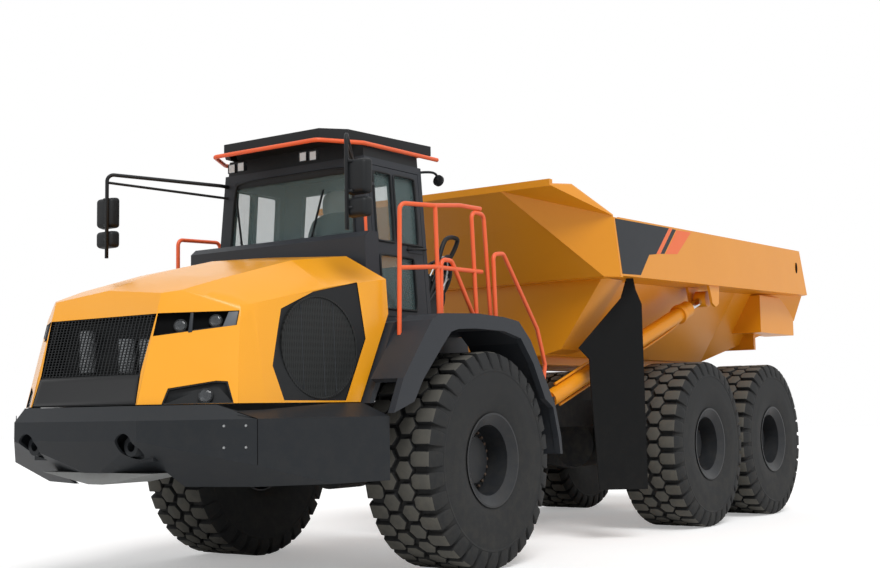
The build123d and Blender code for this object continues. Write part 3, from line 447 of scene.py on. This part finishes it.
lug_count = 32
bolt_count = 24
carcass_radius = 0.895
carcass_half = 0.30
sidewall = [  # distance from the tyre's middle, radius
    (0.338, 0.862),
    (0.358, 0.815),
    (0.369, 0.782),
    (0.3745, 0.774),
    (0.3745, 0.764),
    (0.3705, 0.757),
    (0.3735, 0.690),
    (0.3715, 0.665),
    (0.3735, 0.640),
    (0.370, 0.570),
    (0.360, 0.490),
    (0.349, 0.432),
    (0.339, 0.407),
    (0.335, 0.387),
    (0.292, 0.3185),
]


def tyre_carcass():
    # a cylinder whose ends are drawn out ring by ring and joined through the middle
    made = start("cylinder", "carcass", turn=(pi / 2, 0, 0), vertices=64, radius=carcass_radius,
                 depth=2 * carcass_half)
    for side in (1, -1):
        choose(made, lambda middle, out: out.y * side > 0.9)
        last_y, last_r = carcass_half, carcass_radius
        for y, r in sidewall:
            push((0, side * (y - last_y), 0))
            scale((r / last_r, 1, r / last_r), (0, 0, 0))
            last_y, last_r = y, r
        leave()
    choose(made, lambda middle, out: abs(out.y) > 0.99 and (middle.x ** 2 + middle.z ** 2) < 0.01)
    bpy.ops.mesh.delete(type="FACE")
    leave()
    only(made)
    bpy.ops.object.mode_set(mode="EDIT")
    bpy.ops.mesh.select_mode(type="EDGE")
    bpy.ops.mesh.select_all(action="DESELECT")
    bpy.ops.mesh.select_non_manifold()
    bpy.ops.mesh.bridge_edge_loops()
    leave()
    made.data.materials.append(tyre_rubber)
    return made


def tread_piece(made):
    # dusty running faces on a block that stands up along +Z
    made.data.materials.append(tyre_rubber)
    made.data.materials.append(worn_tread)
    for face in made.data.polygons:
        face.material_index = 1 if face.center.z > 0.93 and face.normal.z > 0.8 else 0
    return made


def middle_block():
    # one hexagonal block, narrowed towards its running face
    made = start("cylinder", "middle_block", (0, 0.085, 0.9075), vertices=6, radius=0.108, depth=0.055)
    choose(made, lambda middle, out: True)
    scale((0.82, 0.85, 1), (0, 0.085, 0.9075))
    leave()
    choose(made, lambda middle, out: out.z > 0.9)
    scale((0.94, 0.94, 1), (0, 0.085, 0.9))
    leave()
    soften(made, 0.006, 2)
    return tread_piece(made)


def shoulder_lug():
    # one lug that runs from between the blocks down over the shoulder
    made = start("cube", "shoulder_lug", (0, 0.245, 0.9), size=1, scale=(0.132, 0.13, 0.07))
    choose(made, lambda middle, out: out.y < -0.9)
    push((0, -0.028, 0))
    scale((0.55, 1, 1), (0, 0, 0.9))
    leave()
    choose(made, lambda middle, out: out.y > 0.9)
    push((0, 0.026, -0.012))
    push((0, 0.026, -0.05))
    scale((0.9, 1, 0.8), (0, 0, 0.84))
    push((0, 0.010, -0.045))
    scale((0.86, 1, 0.6), (0, 0, 0.79))
    leave()
    choose(made, lambda middle, out: out.z > 0.7 and middle.y > 0.19 and middle.y < 0.30)
    scale((0.93, 1, 1), (0, 0.245, 0.93))
    leave()
    soften(made, 0.006, 2)
    return tread_piece(made)


def whole_tyre():
    parts = [tyre_carcass()]
    block, lug = middle_block(), shoulder_lug()
    step = 2 * pi / lug_count
    for i in range(lug_count):
        for side in (1, -1):
            quarter = 0.25 * side
            for piece, turn in ((block, quarter), (lug, quarter + 0.5)):
                round_it = Matrix.Rotation(step * (i + turn), 4, "Y")
                parts.append(copied(piece, "tread", round_it @ facing(side)))
    bpy.data.objects.remove(block)
    bpy.data.objects.remove(lug)
    return merged(parts, "tyre_pattern")


def rim_bolts():
    # a ring of bolt heads, one modelled and the others copied
    head = start("cylinder", "head", (0.266, 0.101, 0), (pi / 2, 0, 0), vertices=6, radius=0.015, depth=0.026)
    soften(head, 0.003, 1)
    step = 2 * pi / bolt_count
    parts = [copied(head, "bolt", Matrix.Rotation(step * i, 4, "Y")) for i in range(bolt_count)]
    bpy.data.objects.remove(head)
    return merged(parts, "bolt_ring")


def dress_wheels():
    pattern, bolts = whole_tyre(), rim_bolts()
    for name, (x, side) in wheels.items():
        place = Matrix.Translation((x, side * track_half, tyre_radius)) @ facing(side)
        tyre = copied(pattern, f"treaded_tyre_{name}", place)
        fit(tyre, None, f"wheel_{name}", [f"tyre_{name}"], 32)
        fit(copied(bolts, f"rim_bolts_{name}", place), corroded_bolts, f"wheel_{name}")
    bpy.data.objects.remove(pattern)
    bpy.data.objects.remove(bolts)


dress_wheels()


# Hood: pressed shell, barred nose, corner lamps, round side screens

fold_radius = 0.045
shortest_fold = 0.12

def round_hood():
    # a copy of the hood's solid whose outer folds are rolled to a radius, as pressed sheet is
    made = welded("hood_shell", "pressed_hood")
    bpy.ops.mesh.dissolve_limited(angle_limit=radians(1))
    bpy.ops.mesh.select_mode(type="EDGE")
    bpy.ops.mesh.select_all(action="DESELECT")
    grid = bmesh.from_edit_mesh(made.data)
    for edge in grid.edges:
        if len(edge.link_faces) == 2 and edge.calc_length() > shortest_fold:
            bend = edge.calc_face_angle_signed()
            outward = sum((face.normal for face in edge.link_faces), Vector())
            middle = (edge.verts[0].co + edge.verts[1].co) / 2 - Vector(at(1.6, 0, 1.7))
            if radians(6) < bend < radians(70) and outward.dot(middle) > 0:
                edge.select_set(True)
    bmesh.update_edit_mesh(made.data)
    bpy.ops.mesh.bevel(offset=fold_radius, segments=5, profile=0.5, clamp_overlap=True)
    leave()
    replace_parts(fit(made, hood_enamel, "hood", angle=48), "hood_shell")
    # painted shade: the faces turned inward are made black, for the shade inside the hood
    made.data.materials.append(hood_inside_shade)
    for face in made.data.polygons:
        if face.normal.dot(face.center - Vector(at(1.6, 0, 1.6))) < 0:
            face.material_index = 1


nose_foot_x, nose_foot_z, nose_lean = 3.07, 1.4, 0.28


def nose_front(z):
    # the leaning front of the nose, from the front axle
    return nose_foot_x - nose_lean * (z - nose_foot_z)


def lower_nose():
    # the grille's own solid with its middle cut away above the smooth lower panel
    made = welded("grille", "grille_trays")
    leave()
    choose(made, lambda middle, out: abs(middle.y) < 0.6)
    bpy.ops.mesh.bisect(plane_co=(0, 0, 1.672), plane_no=(0, 0, 1), use_fill=True, clear_outer=True)
    leave()
    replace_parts(fit(made, moulded_black, "hood", angle=20), "grille")


def receiver_bottles():
    # three grey bottles that show dimly between the bars
    for i, (y, low, high) in enumerate(((-0.258, 1.70, 2.03), (0.19, 1.69, 1.95), (0.42, 1.70, 1.94))):
        can = start("cylinder", f"receiver_bottle_{i}", at(2.79, y, (low + high) / 2), vertices=24,
                    radius=0.062, depth=high - low)
        choose(can, lambda middle, out: abs(out.z) > 0.8)
        bpy.ops.mesh.inset(thickness=0.012)
        leave()
        soften(can, 0.012, 3)
        fit(can, bottle_grey, "hood")


def nose_backing():
    # the radiator core behind the bottles, a wire screen over painted shade, and a closed back of painted
    # shade on each lamp bay
    core = slab("radiator_core", [(2.745, -0.60, 1.50), (2.745, 0.60, 1.50), (2.70, 0.60, 2.10),
                                  (2.70, -0.60, 2.10)], 0.02)
    choose(core, lambda middle, out: out.x > 0.9)
    bpy.ops.mesh.inset(thickness=0.03)
    bpy.ops.transform.translate(value=(-0.006, 0, 0))
    leave()
    soften(core, 0.004, 2)
    fit(core, screen_mesh, "hood")
    for side, word in sides:
        corner_plate(f"lamp_bay_back_{word}", ((0.0, 1.93), (0.62, 2.005), (0.62, 2.15), (0.0, 2.14)), -0.064,
                     0.006, 0.002, shadow_gap, side)


def dress_nose():
    # the smooth lower panel and the bars across the opening
    low, high = 1.456, 1.66
    low_x, high_x = nose_front(low) - 0.006, nose_front(high) - 0.001
    lower = slab("lower_nose_panel", [(low_x, -0.578, low), (low_x, 0.578, low), (high_x, 0.556, high),
                                      (high_x, -0.556, high)], 0.012)
    choose(lower, lambda middle, out: out.x > 0.7)
    bpy.ops.mesh.inset(thickness=0.03)
    bpy.ops.transform.translate(value=(-0.004, 0, 0))
    leave()
    soften(lower, 0.004, 2)
    fit(lower, gloss_black, "hood")
    nose_bars()


def nose_bars():
    # level bars with a narrowed front edge, and thin uprights between them
    bars = []
    bar_count, bar_pitch, bar_half = 22, 0.0205, 0.0032
    for i in range(bar_count):
        z = 1.681 + bar_pitch * i
        half = 0.556 + 0.028 * max(0.0, (z - 1.69) / 0.43)
        front = nose_front(z)
        bar = box("bar", (front - 0.014, -half, z - bar_half), (front - 0.006, half, z + bar_half))
        choose(bar, lambda middle, out: out.x > 0.9)
        scale((1, 1, 0.5), at(front, 0, z))
        leave()
        bars.append(bar)
    upright_count, upright_pitch, upright_half = 29, 0.039, 0.0035
    low, high = 1.672, 2.115
    low_x, high_x = nose_front(low) - 0.008, nose_front(high) - 0.008
    for i in range(upright_count):
        y = -0.546 + upright_pitch * i
        bar = slab("upright", [(low_x, y - upright_half, low), (low_x, y + upright_half, low),
                               (high_x, y + upright_half, high), (high_x, y - upright_half, high)], 0.010)
        soften(bar, 0.001, 1)
        bars.append(bar)
    fit(merged(bars, "nose_bars"), moulded_black, "hood", angle=20)


def round_lamp(name, spot, way, radius, body, bowl_finish, cover_finish):
    # a lamp with a dark bezel, a bright bowl and a domed clear cover; the spot is its front rim
    out = Vector(way).normalized()
    spot = Vector(spot)
    bezel = disc(f"{name}_bezel", spot - out * 0.042, out, radius + 0.008, 0.03, 40)
    choose(bezel, lambda middle, normal: normal.dot(out) > 0.9)
    bpy.ops.mesh.inset(thickness=0.008)
    push(tuple(-0.012 * v for v in out))
    leave()
    soften(bezel, 0.002, 2)
    fit(bezel, moulded_black, body)
    bowl = disc(f"{name}_bowl", spot - out * 0.026, out, radius - 0.003, 0.012, 40)
    choose(bowl, lambda middle, normal: normal.dot(out) > 0.9)
    bpy.ops.mesh.inset(thickness=0.010)
    push(tuple(-0.006 * v for v in out))
    bpy.ops.mesh.inset(thickness=radius * 0.3)
    push(tuple(-0.004 * v for v in out))
    leave()
    soften(bowl, 0.0015, 2)
    fit(bowl, bowl_finish, body)
    cover = disc(f"{name}_cover", spot - out * 0.013, out, radius - 0.002, 0.003, 40)
    choose(cover, lambda middle, normal: normal.dot(out) > 0.9)
    bpy.ops.mesh.inset(thickness=radius * 0.35)
    bpy.ops.transform.translate(value=tuple(0.003 * v for v in out))
    leave()
    soften(cover, 0.001, 2)
    return fit(cover, cover_finish, body, angle=60)


nose_corner_y = 0.6
corner_out = Vector((0.824, 0.5665, 0.2307)).normalized()
corner_run = Vector((-0.5665, 0.8240, 0)).normalized()
corner_lamps = [  # name, distance along the corner from its front edge, height, radius
    ("inner_headlamp", 0.19, 2.03, 0.042),
    ("outer_headlamp", 0.445, 2.061, 0.042),
    ("fog_lamp", 0.48, 1.511, 0.048),
]


def on_corner(along, z, out, side):
    # a place on the hood's slanted corner face, measured from the front axle
    spot = Vector((nose_front(z), nose_corner_y, z)) + corner_run * along + corner_out * out
    return (spot.x, spot.y * side, spot.z)


def corner_plate(name, outline, depth, thickness, rounding, material, side):
    # a plate along the corner face, its outline given along the corner and in height
    plate = slab(name, [on_corner(along, z, depth, side) for along, z in outline], thickness)
    soften(plate, rounding, 2)
    fit(plate, material, "hood")


def dress_corners():
    # three lamps on each corner, the web between the two lamp bays and the grey end panel
    covers = []
    for side, word in sides:
        out = (corner_out.x, corner_out.y * side, corner_out.z)
        for label, along, z, radius in corner_lamps:
            spot = at(*on_corner(along, z, 0, side))
            covers.append(round_lamp(f"{label}_{word}", spot, out, radius, "hood", smoked_bowl, smoked_glass))
        corner_plate(f"lamp_bay_web_{word}", ((0.262, 1.972), (0.292, 1.976), (0.272, 2.122), (0.250, 2.120)),
                     -0.010, 0.03, 0.004, charcoal_powder_coat, side)
        corner_plate(f"lamp_bay_end_{word}", ((0.505, 2.006), (0.602, 2.024), (0.602, 2.128), (0.530, 2.126)),
                     -0.014, 0.02, 0.004, bumper_top_grey, side)
    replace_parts(covers[0], "headlamps")


def side_disc(side, word):
    # the big round mesh screen, dished, with a rolled rim and three fine ribs, square to the leaning panel
    middle_x, middle_z = 1.780, 1.875
    lean_x, lean_z = 0.104, 0.0455  # how far the panel falls back per metre, forward and up
    out = Vector((lean_x, side, lean_z)).normalized()
    centre = Vector(at(middle_x, 1.226 * side, middle_z))
    made = disc(f"screen_disc_{word}", centre, out, 0.402, 0.028, 72)
    choose(made, lambda middle, normal: normal.dot(out) > 0.9)
    bpy.ops.mesh.inset(thickness=0.014)
    push(tuple(-0.009 * v for v in out))
    bpy.ops.mesh.inset(thickness=0.06)
    bpy.ops.transform.translate(value=tuple(0.007 * v for v in out))
    leave()
    soften(made, 0.003, 2)
    fit(made, screen_mesh, "hood", angle=30)
    ribs = []
    rib_reach, rib_y = 0.375, 1.250
    for x in (-0.15, -0.03, 0.19):
        half = sqrt(rib_reach ** 2 - x ** 2)
        foot = (middle_x + x, side * (rib_y - lean_x * x + lean_z * half), middle_z - half)
        tip = (middle_x + x, side * (rib_y - lean_x * x - lean_z * half), middle_z + half)
        rib = slab("rib", [(foot[0] - 0.003, foot[1], foot[2]), (foot[0] + 0.003, foot[1], foot[2]),
                           (tip[0] + 0.003, tip[1], tip[2]), (tip[0] - 0.003, tip[1], tip[2])], 0.008)
        soften(rib, 0.002, 1)
        ribs.append(rib)
    fit(merged(ribs, f"screen_ribs_{word}"), charcoal_powder_coat, "hood", angle=20)


round_hood()
lower_nose()
receiver_bottles()
nose_backing()
dress_nose()
dress_corners()
for side, word in sides:
    side_disc(side, word)


# Bumper: bolts and seams

def dress_bumper():
    # four bolts on each corner panel and the seams of its end and its ledge
    corner = Vector((0.677, 0.523, 0)).normalized()
    for side, word in sides:
        out = Vector((corner.x, corner.y * side, 0))
        bolts = []
        for along in (0.620, 0.777):
            for z in (1.134, 1.288):
                spot = at(3.140 - 0.6113 * along, side * (0.687 + 0.7914 * along), z)  # on the corner panel
                bolt = disc("bolt", spot, out, 0.011, 0.007, 16)
                choose(bolt, lambda middle, normal: normal.dot(out) > 0.9)
                scale((0.7, 0.7, 0.7), spot)
                leave()
                bolts.append(bolt)
        fit(merged(bolts, f"bumper_bolts_{word}"), bare_zinc, "front_unit")
        seam = slab(f"bumper_seam_{word}", [(2.6165, 1.3655 * side, 1.01), (2.6165, 1.3655 * side, 1.334),
                                            (2.6105, 1.3665 * side, 1.334), (2.6105, 1.3665 * side, 1.01)],
                    0.002)
        soften(seam, 0.0005, 1)
        fit(seam, shadow_gap, "front_unit")
        top_seam = slab(f"ledge_seam_{word}", [(2.620, 1.361 * side, 1.337), (2.702, 1.250 * side, 1.385),
                                               (2.694, 1.252 * side, 1.386), (2.610, 1.364 * side, 1.337)],
                        0.003)
        soften(top_seam, 0.0005, 1)
        fit(top_seam, shadow_gap, "front_unit")


dress_bumper()


# Load body: painted stripes and stamped discs on the upright band

band_y = 1.7008
band_films = [  # name, corners along the band and up it, in metres from the front axle, paint
    ("charcoal_field", [(-2.316, 3.288), (-3.584, 3.318), (-3.246, 3.001), (-3.077, 2.979), (-2.863, 2.746),
                        (-2.448, 2.730)], charcoal_stripe),
    ("coral_stripe", [(-3.584, 3.318), (-3.673, 3.319), (-3.350, 3.013), (-3.246, 3.004)], coral_stripe),
    ("dark_stripe", [(-3.673, 3.319), (-3.762, 3.316), (-3.449, 3.022), (-3.350, 3.013)], charcoal_stripe),
    ("coral_block", [(-3.780, 3.315), (-4.160, 3.329), (-3.777, 3.047), (-3.471, 3.021)], coral_stripe),
]


def dress_band():
    # thin films for the stripes, and a dished oval stamp near the tail
    for side, word in sides:
        for label, outline, colour in band_films:
            film = slab(f"{label}_{word}", [(x, band_y * side, z) for x, z in outline], 0.0014)
            soften(film, 0.0004, 1)
            fit(film, colour, "bed")
        stamp = disc(f"tail_stamp_{word}", at(-7.485, 1.6985 * side, 3.183), (0, side, 0), 0.055, 0.006, 40)
        choose(stamp, lambda middle, out: out.y * side > 0.9)
        bpy.ops.mesh.inset(thickness=0.014)
        push((0, -0.004 * side, 0))
        bpy.ops.mesh.select_all(action="SELECT")
        scale((0.62, 1, 1.3), at(-7.485, 1.7 * side, 3.183))
        leave()
        fit(stamp, shadow_gap, "bed")


dress_band()


# Cab: lamps, handles, seals, wipers, visor and seat

def side_wall(z):
    # the cab's leaning side, as a distance from the middle
    return 0.941 - 0.0713 * (z - 2.1)


def front_wall(z):
    # the cab's leaning front, from the front axle
    return 0.740 - 0.0333 * (z - 2.1)


def seal(name, corners, body):
    # a rubber lip round a pane
    places = []
    for (x, y, z), (u, v, w) in zip(corners, corners[1:] + corners[:1]):
        places += [(x + (u - x) * t, y + (v - y) * t, z + (w - z) * t) for t in (0.04, 0.5, 0.96)]
    pipe(name, places + places[:1], 0.011, moulded_black, body, 4, 8)


def dress_cab():
    window_seals()
    door_handle()
    grab = [(0.69, 0.87, 3.10), (0.76, 0.915, 3.10), (0.80, 0.93, 3.06), (0.80, 0.935, 2.95),
            (0.80, 0.94, 2.83), (0.76, 0.93, 2.78), (0.70, 0.885, 2.78)]
    pipe("pillar_grab_rail", grab, 0.014, rail_powder_coat, "front_unit", 8, 12)
    for i, (y, z) in enumerate(((0.388, 3.600), (0.503, 3.595), (-0.468, 3.595), (-0.356, 3.600))):
        square_lamp(f"roof_work_lamp_{i}", y, z)
    visor = slab("sun_visor", [(0.700, -0.69, 3.515), (0.700, 0.69, 3.515), (0.685, 0.70, 3.465),
                               (0.685, -0.70, 3.465)], 0.006)
    soften(visor, 0.002, 2)
    fit(visor, moulded_black, "front_unit")
    wiper("main_wiper", (0.743, 0.05, 2.44), (0.735, 0.30, 3.00), (0.715, 0.19, 2.72), (0.715, 0.40, 3.34))
    wiper("far_wiper", (0.743, -0.40, 2.44), (0.735, -0.60, 2.96), (0.715, -0.56, 2.72), (0.712, -0.66, 3.36))
    rear_lamp()
    seat_pads()


def window_seals():
    # lips round the windscreen and the panes of both sides
    screen = ((-0.78, 2.42), (0.78, 2.42), (0.70, 3.52), (-0.70, 3.52))
    seal("windscreen_seal", [(front_wall(z) + 0.004, y, z) for y, z in screen], "front_unit")
    for side, word in sides:
        for label, outline in (("front_pane", [(0.33, 2.86), (0.585, 2.86), (0.585, 3.48), (0.33, 3.48)]),
                               ("rear_pane", [(-0.03, 2.86), (0.29, 2.86), (0.29, 3.48), (-0.03, 3.48)]),
                               ("low_pane", [(0.06, 2.26), (0.56, 2.26), (0.56, 2.74), (0.06, 2.74)])):
            corners = [(x, side * (side_wall(z) + 0.002), z) for x, z in outline]
            seal(f"{label}_seal_{word}", corners, "door_left" if side == 1 else "front_unit")


def door_handle():
    # a bent pull over a shallow cup
    handle = [(-0.11, side_wall(2.83) - 0.01, 2.835), (-0.11, 0.925, 2.835), (-0.04, 0.928, 2.83),
              (0.08, 0.928, 2.82), (0.15, 0.925, 2.812), (0.15, side_wall(2.81) - 0.01, 2.812)]
    pipe("door_pull", handle, 0.011, moulded_black, "door_left", 8, 12)
    cup = box("door_pull_cup", (-0.10, 0.880, 2.780), (0.14, side_wall(2.82) + 0.003, 2.868))
    choose(cup, lambda middle, out: out.y > 0.9)
    bpy.ops.mesh.inset(thickness=0.012)
    push((0, -0.004, 0))
    leave()
    soften(cup, 0.003, 2)
    fit(cup, moulded_black, "door_left")


def wiper(name, foot, knee, low, high):
    # a pressed arm from its spindle to the middle of a straight blade
    middle = [(a + b) / 2 for a, b in zip(foot, knee)]
    middle[0] += 0.01
    pipe(f"{name}_arm", [foot, middle, knee], 0.007, moulded_black, "front_unit", 6, 8)
    depth = 0.022
    blade = slab(f"{name}_blade", [low, high, (high[0] + depth, *high[1:]), (low[0] + depth, *low[1:])],
                 0.010)
    soften(blade, 0.003, 2)
    fit(blade, moulded_black, "front_unit")
    hub = disc(f"{name}_spindle", at(foot[0] - 0.03, foot[1], foot[2]), (1, 0, 0), 0.018, 0.05, 20)
    soften(hub, 0.004, 2)
    fit(hub, moulded_black, "front_unit")


def square_lamp(name, y, z):
    # a small square flood lamp with a pale lens
    case = box(name, (0.93, y - 0.045, z - 0.045), (0.99, y + 0.045, z + 0.045))
    choose(case, lambda middle, out: out.x < -0.9)
    scale((1, 0.7, 0.7), at(0.93, y, z))
    leave()
    choose(case, lambda middle, out: out.x > 0.9)
    bpy.ops.mesh.inset(thickness=0.007)
    push((-0.012, 0, 0))
    leave()
    soften(case, 0.004, 2)
    fit(case, moulded_black, "front_unit")
    pane = box(f"{name}_lens", (0.975, y - 0.038, z - 0.038), (0.983, y + 0.038, z + 0.038))
    choose(pane, lambda middle, out: out.x > 0.9)
    bpy.ops.mesh.inset(thickness=0.006)
    bpy.ops.transform.translate(value=(0.002, 0, 0))
    leave()
    soften(pane, 0.001, 1)
    fit(pane, pale_lens, "front_unit")


def rear_lamp():
    # a round lamp on a bent stay behind the cab's rear corner
    round_lamp("rear_work_lamp", at(-0.37, 0.90, 3.50), (-1, 0, -0.2), 0.045, "front_unit", chrome_plate,
               lamp_glass)
    stay = [(-0.13, 0.82, 3.56), (-0.24, 0.88, 3.58), (-0.33, 0.90, 3.56), (-0.335, 0.90, 3.50)]
    pipe("rear_lamp_stay", stay, 0.012, moulded_black, "front_unit", 6, 8)


def cushion(name, low, high, material):
    # foam under a tight cover: crowned faces and round edges
    pad = box(name, low, high)
    only(pad)
    bpy.ops.object.mode_set(mode="EDIT")
    bpy.ops.mesh.select_all(action="SELECT")
    bpy.ops.mesh.subdivide(number_cuts=3, smoothness=0.6)
    leave()
    soften(pad, 0.02, 2, 50)
    modifier = pad.modifiers.new("round", "SUBSURF")
    modifier.levels = 2
    modifier.render_levels = 2
    bpy.ops.object.modifier_apply(modifier="round")
    fit(pad, material, "front_unit")


def seat_pads():
    # a back pad and a head rest, placed from the seat's own box
    low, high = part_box("seat")
    x0, y0, y1, z1 = low[0] - origin_shift, low[1], high[1], high[2]
    cushion("seat_back_pad", (x0 + 0.03, y0 - 0.01, low[2] + 0.5), (x0 + 0.19, y1 + 0.01, z1 + 0.01),
            seat_cloth)
    cushion("head_rest_pad", (x0 + 0.03, -0.15, z1 + 0.03), (x0 + 0.15, 0.15, z1 + 0.25), pale_seat_cloth)


dress_cab()


# Mirrors: rounded housings with a glass that looks back

def mirror_arms():
    # the arms alone: the plain heads are cut off a copy of the node and its ends are closed
    made = welded("mirrors", "mirror_arms")
    leave()
    low, high = at(1.519, 1.348, 2.895), at(1.603, 1.602, 3.377)
    choose(made, lambda middle, out: all(a < b < c for a, b, c in
                                         zip(low, (middle.x, abs(middle.y), middle.z), high)))
    bpy.ops.mesh.delete(type="FACE")
    bpy.ops.mesh.select_mode(type="EDGE")
    bpy.ops.mesh.select_non_manifold()
    bpy.ops.mesh.fill()
    leave()
    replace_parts(fit(made, moulded_black, "front_unit"), "mirrors")


def dress_mirrors():
    # two heads on each side: a round-edged housing and a glass set into its back
    mirror_arms()
    for side, word in sides:
        for label, low_z, high_z in (("large", 3.075, 3.365), ("small", 2.895, 3.055)):
            shell = box(f"{label}_mirror_{word}", (1.512, 1.352, low_z), (1.622, 1.588, high_z))
            choose(shell, lambda middle, out: out.x > 0.9)
            scale((1, 0.88, 0.90), at(1.61, 1.47, (low_z + high_z) / 2))
            leave()
            soften(shell, 0.034, 5)
            choose(shell, lambda middle, out: out.x < -0.99)
            bpy.ops.mesh.inset(thickness=0.006)
            push((0.006, 0, 0))
            leave()
            pane = slab(f"{label}_mirror_glass_{word}",
                        [(1.5155, 1.395, low_z + 0.043), (1.5155, 1.545, low_z + 0.043),
                         (1.5155, 1.545, high_z - 0.043), (1.5155, 1.395, high_z - 0.043)], 0.004)
            soften(pane, 0.0012, 2)
            for piece, skin in ((shell, moulded_black), (pane, chrome_plate)):
                if side == -1:
                    piece.data.transform(mirror_y)
                    piece.data.flip_normals()
                fit(piece, skin, "front_unit")


dress_mirrors()


# Hoses: service hoses behind the cab, oil lines along the hoist cylinders

hose_runs = [  # name, places, radius
    ("service_hose_a", [(-0.42, 0.76, 2.50), (-0.51, 0.80, 2.954), (-0.695, 0.80, 3.029),
                        (-0.863, 0.79, 2.987), (-0.62, 0.62, 2.55)], 0.022),
    ("service_hose_b", [(-0.36, 0.76, 2.42), (-0.49, 0.81, 2.762), (-0.66, 0.81, 2.86), (-0.72, 0.74, 2.50),
                        (-0.52, 0.60, 2.30)], 0.020),
    ("service_hose_c", [(-0.30, 0.76, 2.30), (-0.44, 0.80, 2.56), (-0.59, 0.80, 2.409),
                        (-0.52, 0.70, 2.20)], 0.018),
    ("service_hose_d", [(-0.40, 0.60, 2.66), (-0.55, 0.74, 2.84), (-0.64, 0.78, 2.66), (-0.58, 0.70, 2.34),
                        (-0.50, 0.60, 2.22)], 0.016),
]


def dress_service():
    # four thick hoses, five thin lines and three filter caps behind the cab
    for name, places, radius in hose_runs:
        pipe(name, places, radius, hose_rubber, "front_unit", 10, 12)
    for i in range(5):
        drop, back = 0.05 * i, 0.03 * i
        pipe(f"service_line_{i}", [(-0.36 - back, 0.77, 2.62 - drop), (-0.52 - back, 0.80, 2.88 - drop),
                                   (-0.66 - back, 0.80 - back, 2.70 - drop), (-0.52, 0.74 - back, 2.34)],
             0.009, (bare_zinc, hose_rubber)[i % 2], "front_unit", 10, 8)
    for i, (y, z) in enumerate(((0.70, 2.52), (0.60, 2.52), (0.70, 2.36))):
        cap = disc(f"filter_cap_{i}", at(-0.515, y, z), (-1, 0.15, 0), 0.045, 0.07, 28)
        choose(cap, lambda middle, out: out.x < -0.9)
        bpy.ops.mesh.inset(thickness=0.008)
        push((-0.012, 0, 0))
        leave()
        soften(cap, 0.004, 2)
        fit(cap, bare_zinc, "front_unit")


def dress_hoist():
    # oil lines above and below each barrel, a collar at its gland and a knuckle round the rod's eye
    foot, eye = Vector((-2.0, 0.98, 1.42)), Vector((-4.85, 1.5, 2.62))
    way = (eye - foot).normalized()
    up = way.cross(Vector((0, 1, 0))).normalized()
    gland = foot + way * 2.60
    for side, word in sides:
        for label, lift, far in (("upper", 0.118, 2.55), ("lower", -0.112, 1.1)):
            across = up * lift
            line = [foot + way * t + across for t in (0.25, 0.6, far * 0.6, far)]
            line.append(foot + way * (far + 0.05) + across * 0.6)
            pipe(f"{label}_oil_line_{word}", [(p.x, p.y * side, p.z) for p in line], 0.014, body_enamel,
                 f"hoist_barrel_{word}", 6, 12)
        out = Vector((way.x, way.y * side, way.z))
        collar = disc(f"gland_collar_{word}", at(gland.x, gland.y * side, gland.z), out, 0.112, 0.05, 40)
        choose(collar, lambda middle, normal: normal.dot(out) > 0.9)
        bpy.ops.mesh.inset(thickness=0.02)
        push(tuple(0.012 * v for v in out))
        leave()
        soften(collar, 0.004, 2)
        fit(collar, body_enamel, f"hoist_barrel_{word}")
        knuckle = start("cylinder", f"rod_eye_{word}", at(eye.x, eye.y * side, eye.z), (pi / 2, 0, 0),
                        vertices=40, radius=0.094, depth=0.146)
        choose(knuckle, lambda middle, normal: abs(normal.y) > 0.9)
        bpy.ops.mesh.inset(thickness=0.018)
        leave()
        soften(knuckle, 0.006, 2)
        fit(knuckle, body_enamel, f"hoist_rod_{word}")


dress_service()
dress_hoist()


# Studio

photo_camera()

# the floor: matt white that takes the shadow, lifted for the camera so that it meets the backdrop
bpy.ops.mesh.primitive_plane_add(size=120, location=(0, 0, 0))
floor = bpy.context.object
floor.name = "floor"
pale, tree, skin = finish("pale_floor")
skin.inputs["Base Color"].default_value = linear("#F2F2F2")
skin.inputs["Roughness"].default_value = 0.9
skin.inputs["Specular IOR Level"].default_value = 0.1
skin.inputs["Emission Color"].default_value = (1, 1, 1, 1)
lift = node(tree, "ShaderNodeMath", {"operation": "MULTIPLY"}, i1=0.32,
            i0=node(tree, "ShaderNodeLightPath").outputs["Is Camera Ray"])
tree.links.new(lift.outputs["Value"], skin.inputs["Emission Strength"])
floor.data.materials.append(pale)

# the sky: full white where it is seen or mirrored, half as strong as a light
world = bpy.data.worlds.new("studio")
bpy.context.scene.world = world
world.use_nodes = True
sky = world.node_tree
paths = node(sky, "ShaderNodeLightPath").outputs
seen = node(sky, "ShaderNodeMath", {"operation": "MAXIMUM"}, i0=paths["Is Camera Ray"],
            i1=paths["Is Glossy Ray"])
seen = node(sky, "ShaderNodeMath", {"operation": "MAXIMUM"}, i0=seen.outputs["Value"],
            i1=paths["Is Transmission Ray"])
level = node(sky, "ShaderNodeMapRange", Value=seen.outputs["Value"])
level.inputs["To Min"].default_value = 0.5
sky.nodes["Background"].inputs["Color"].default_value = (1, 1, 1, 1)
sky.links.new(level.outputs["Result"], sky.nodes["Background"].inputs["Strength"])
sun("sky_panel", 1.75, radians(25), (6, 7, 12), (0, 0, 1))
bpy.context.scene.view_settings.view_transform = "Standard"
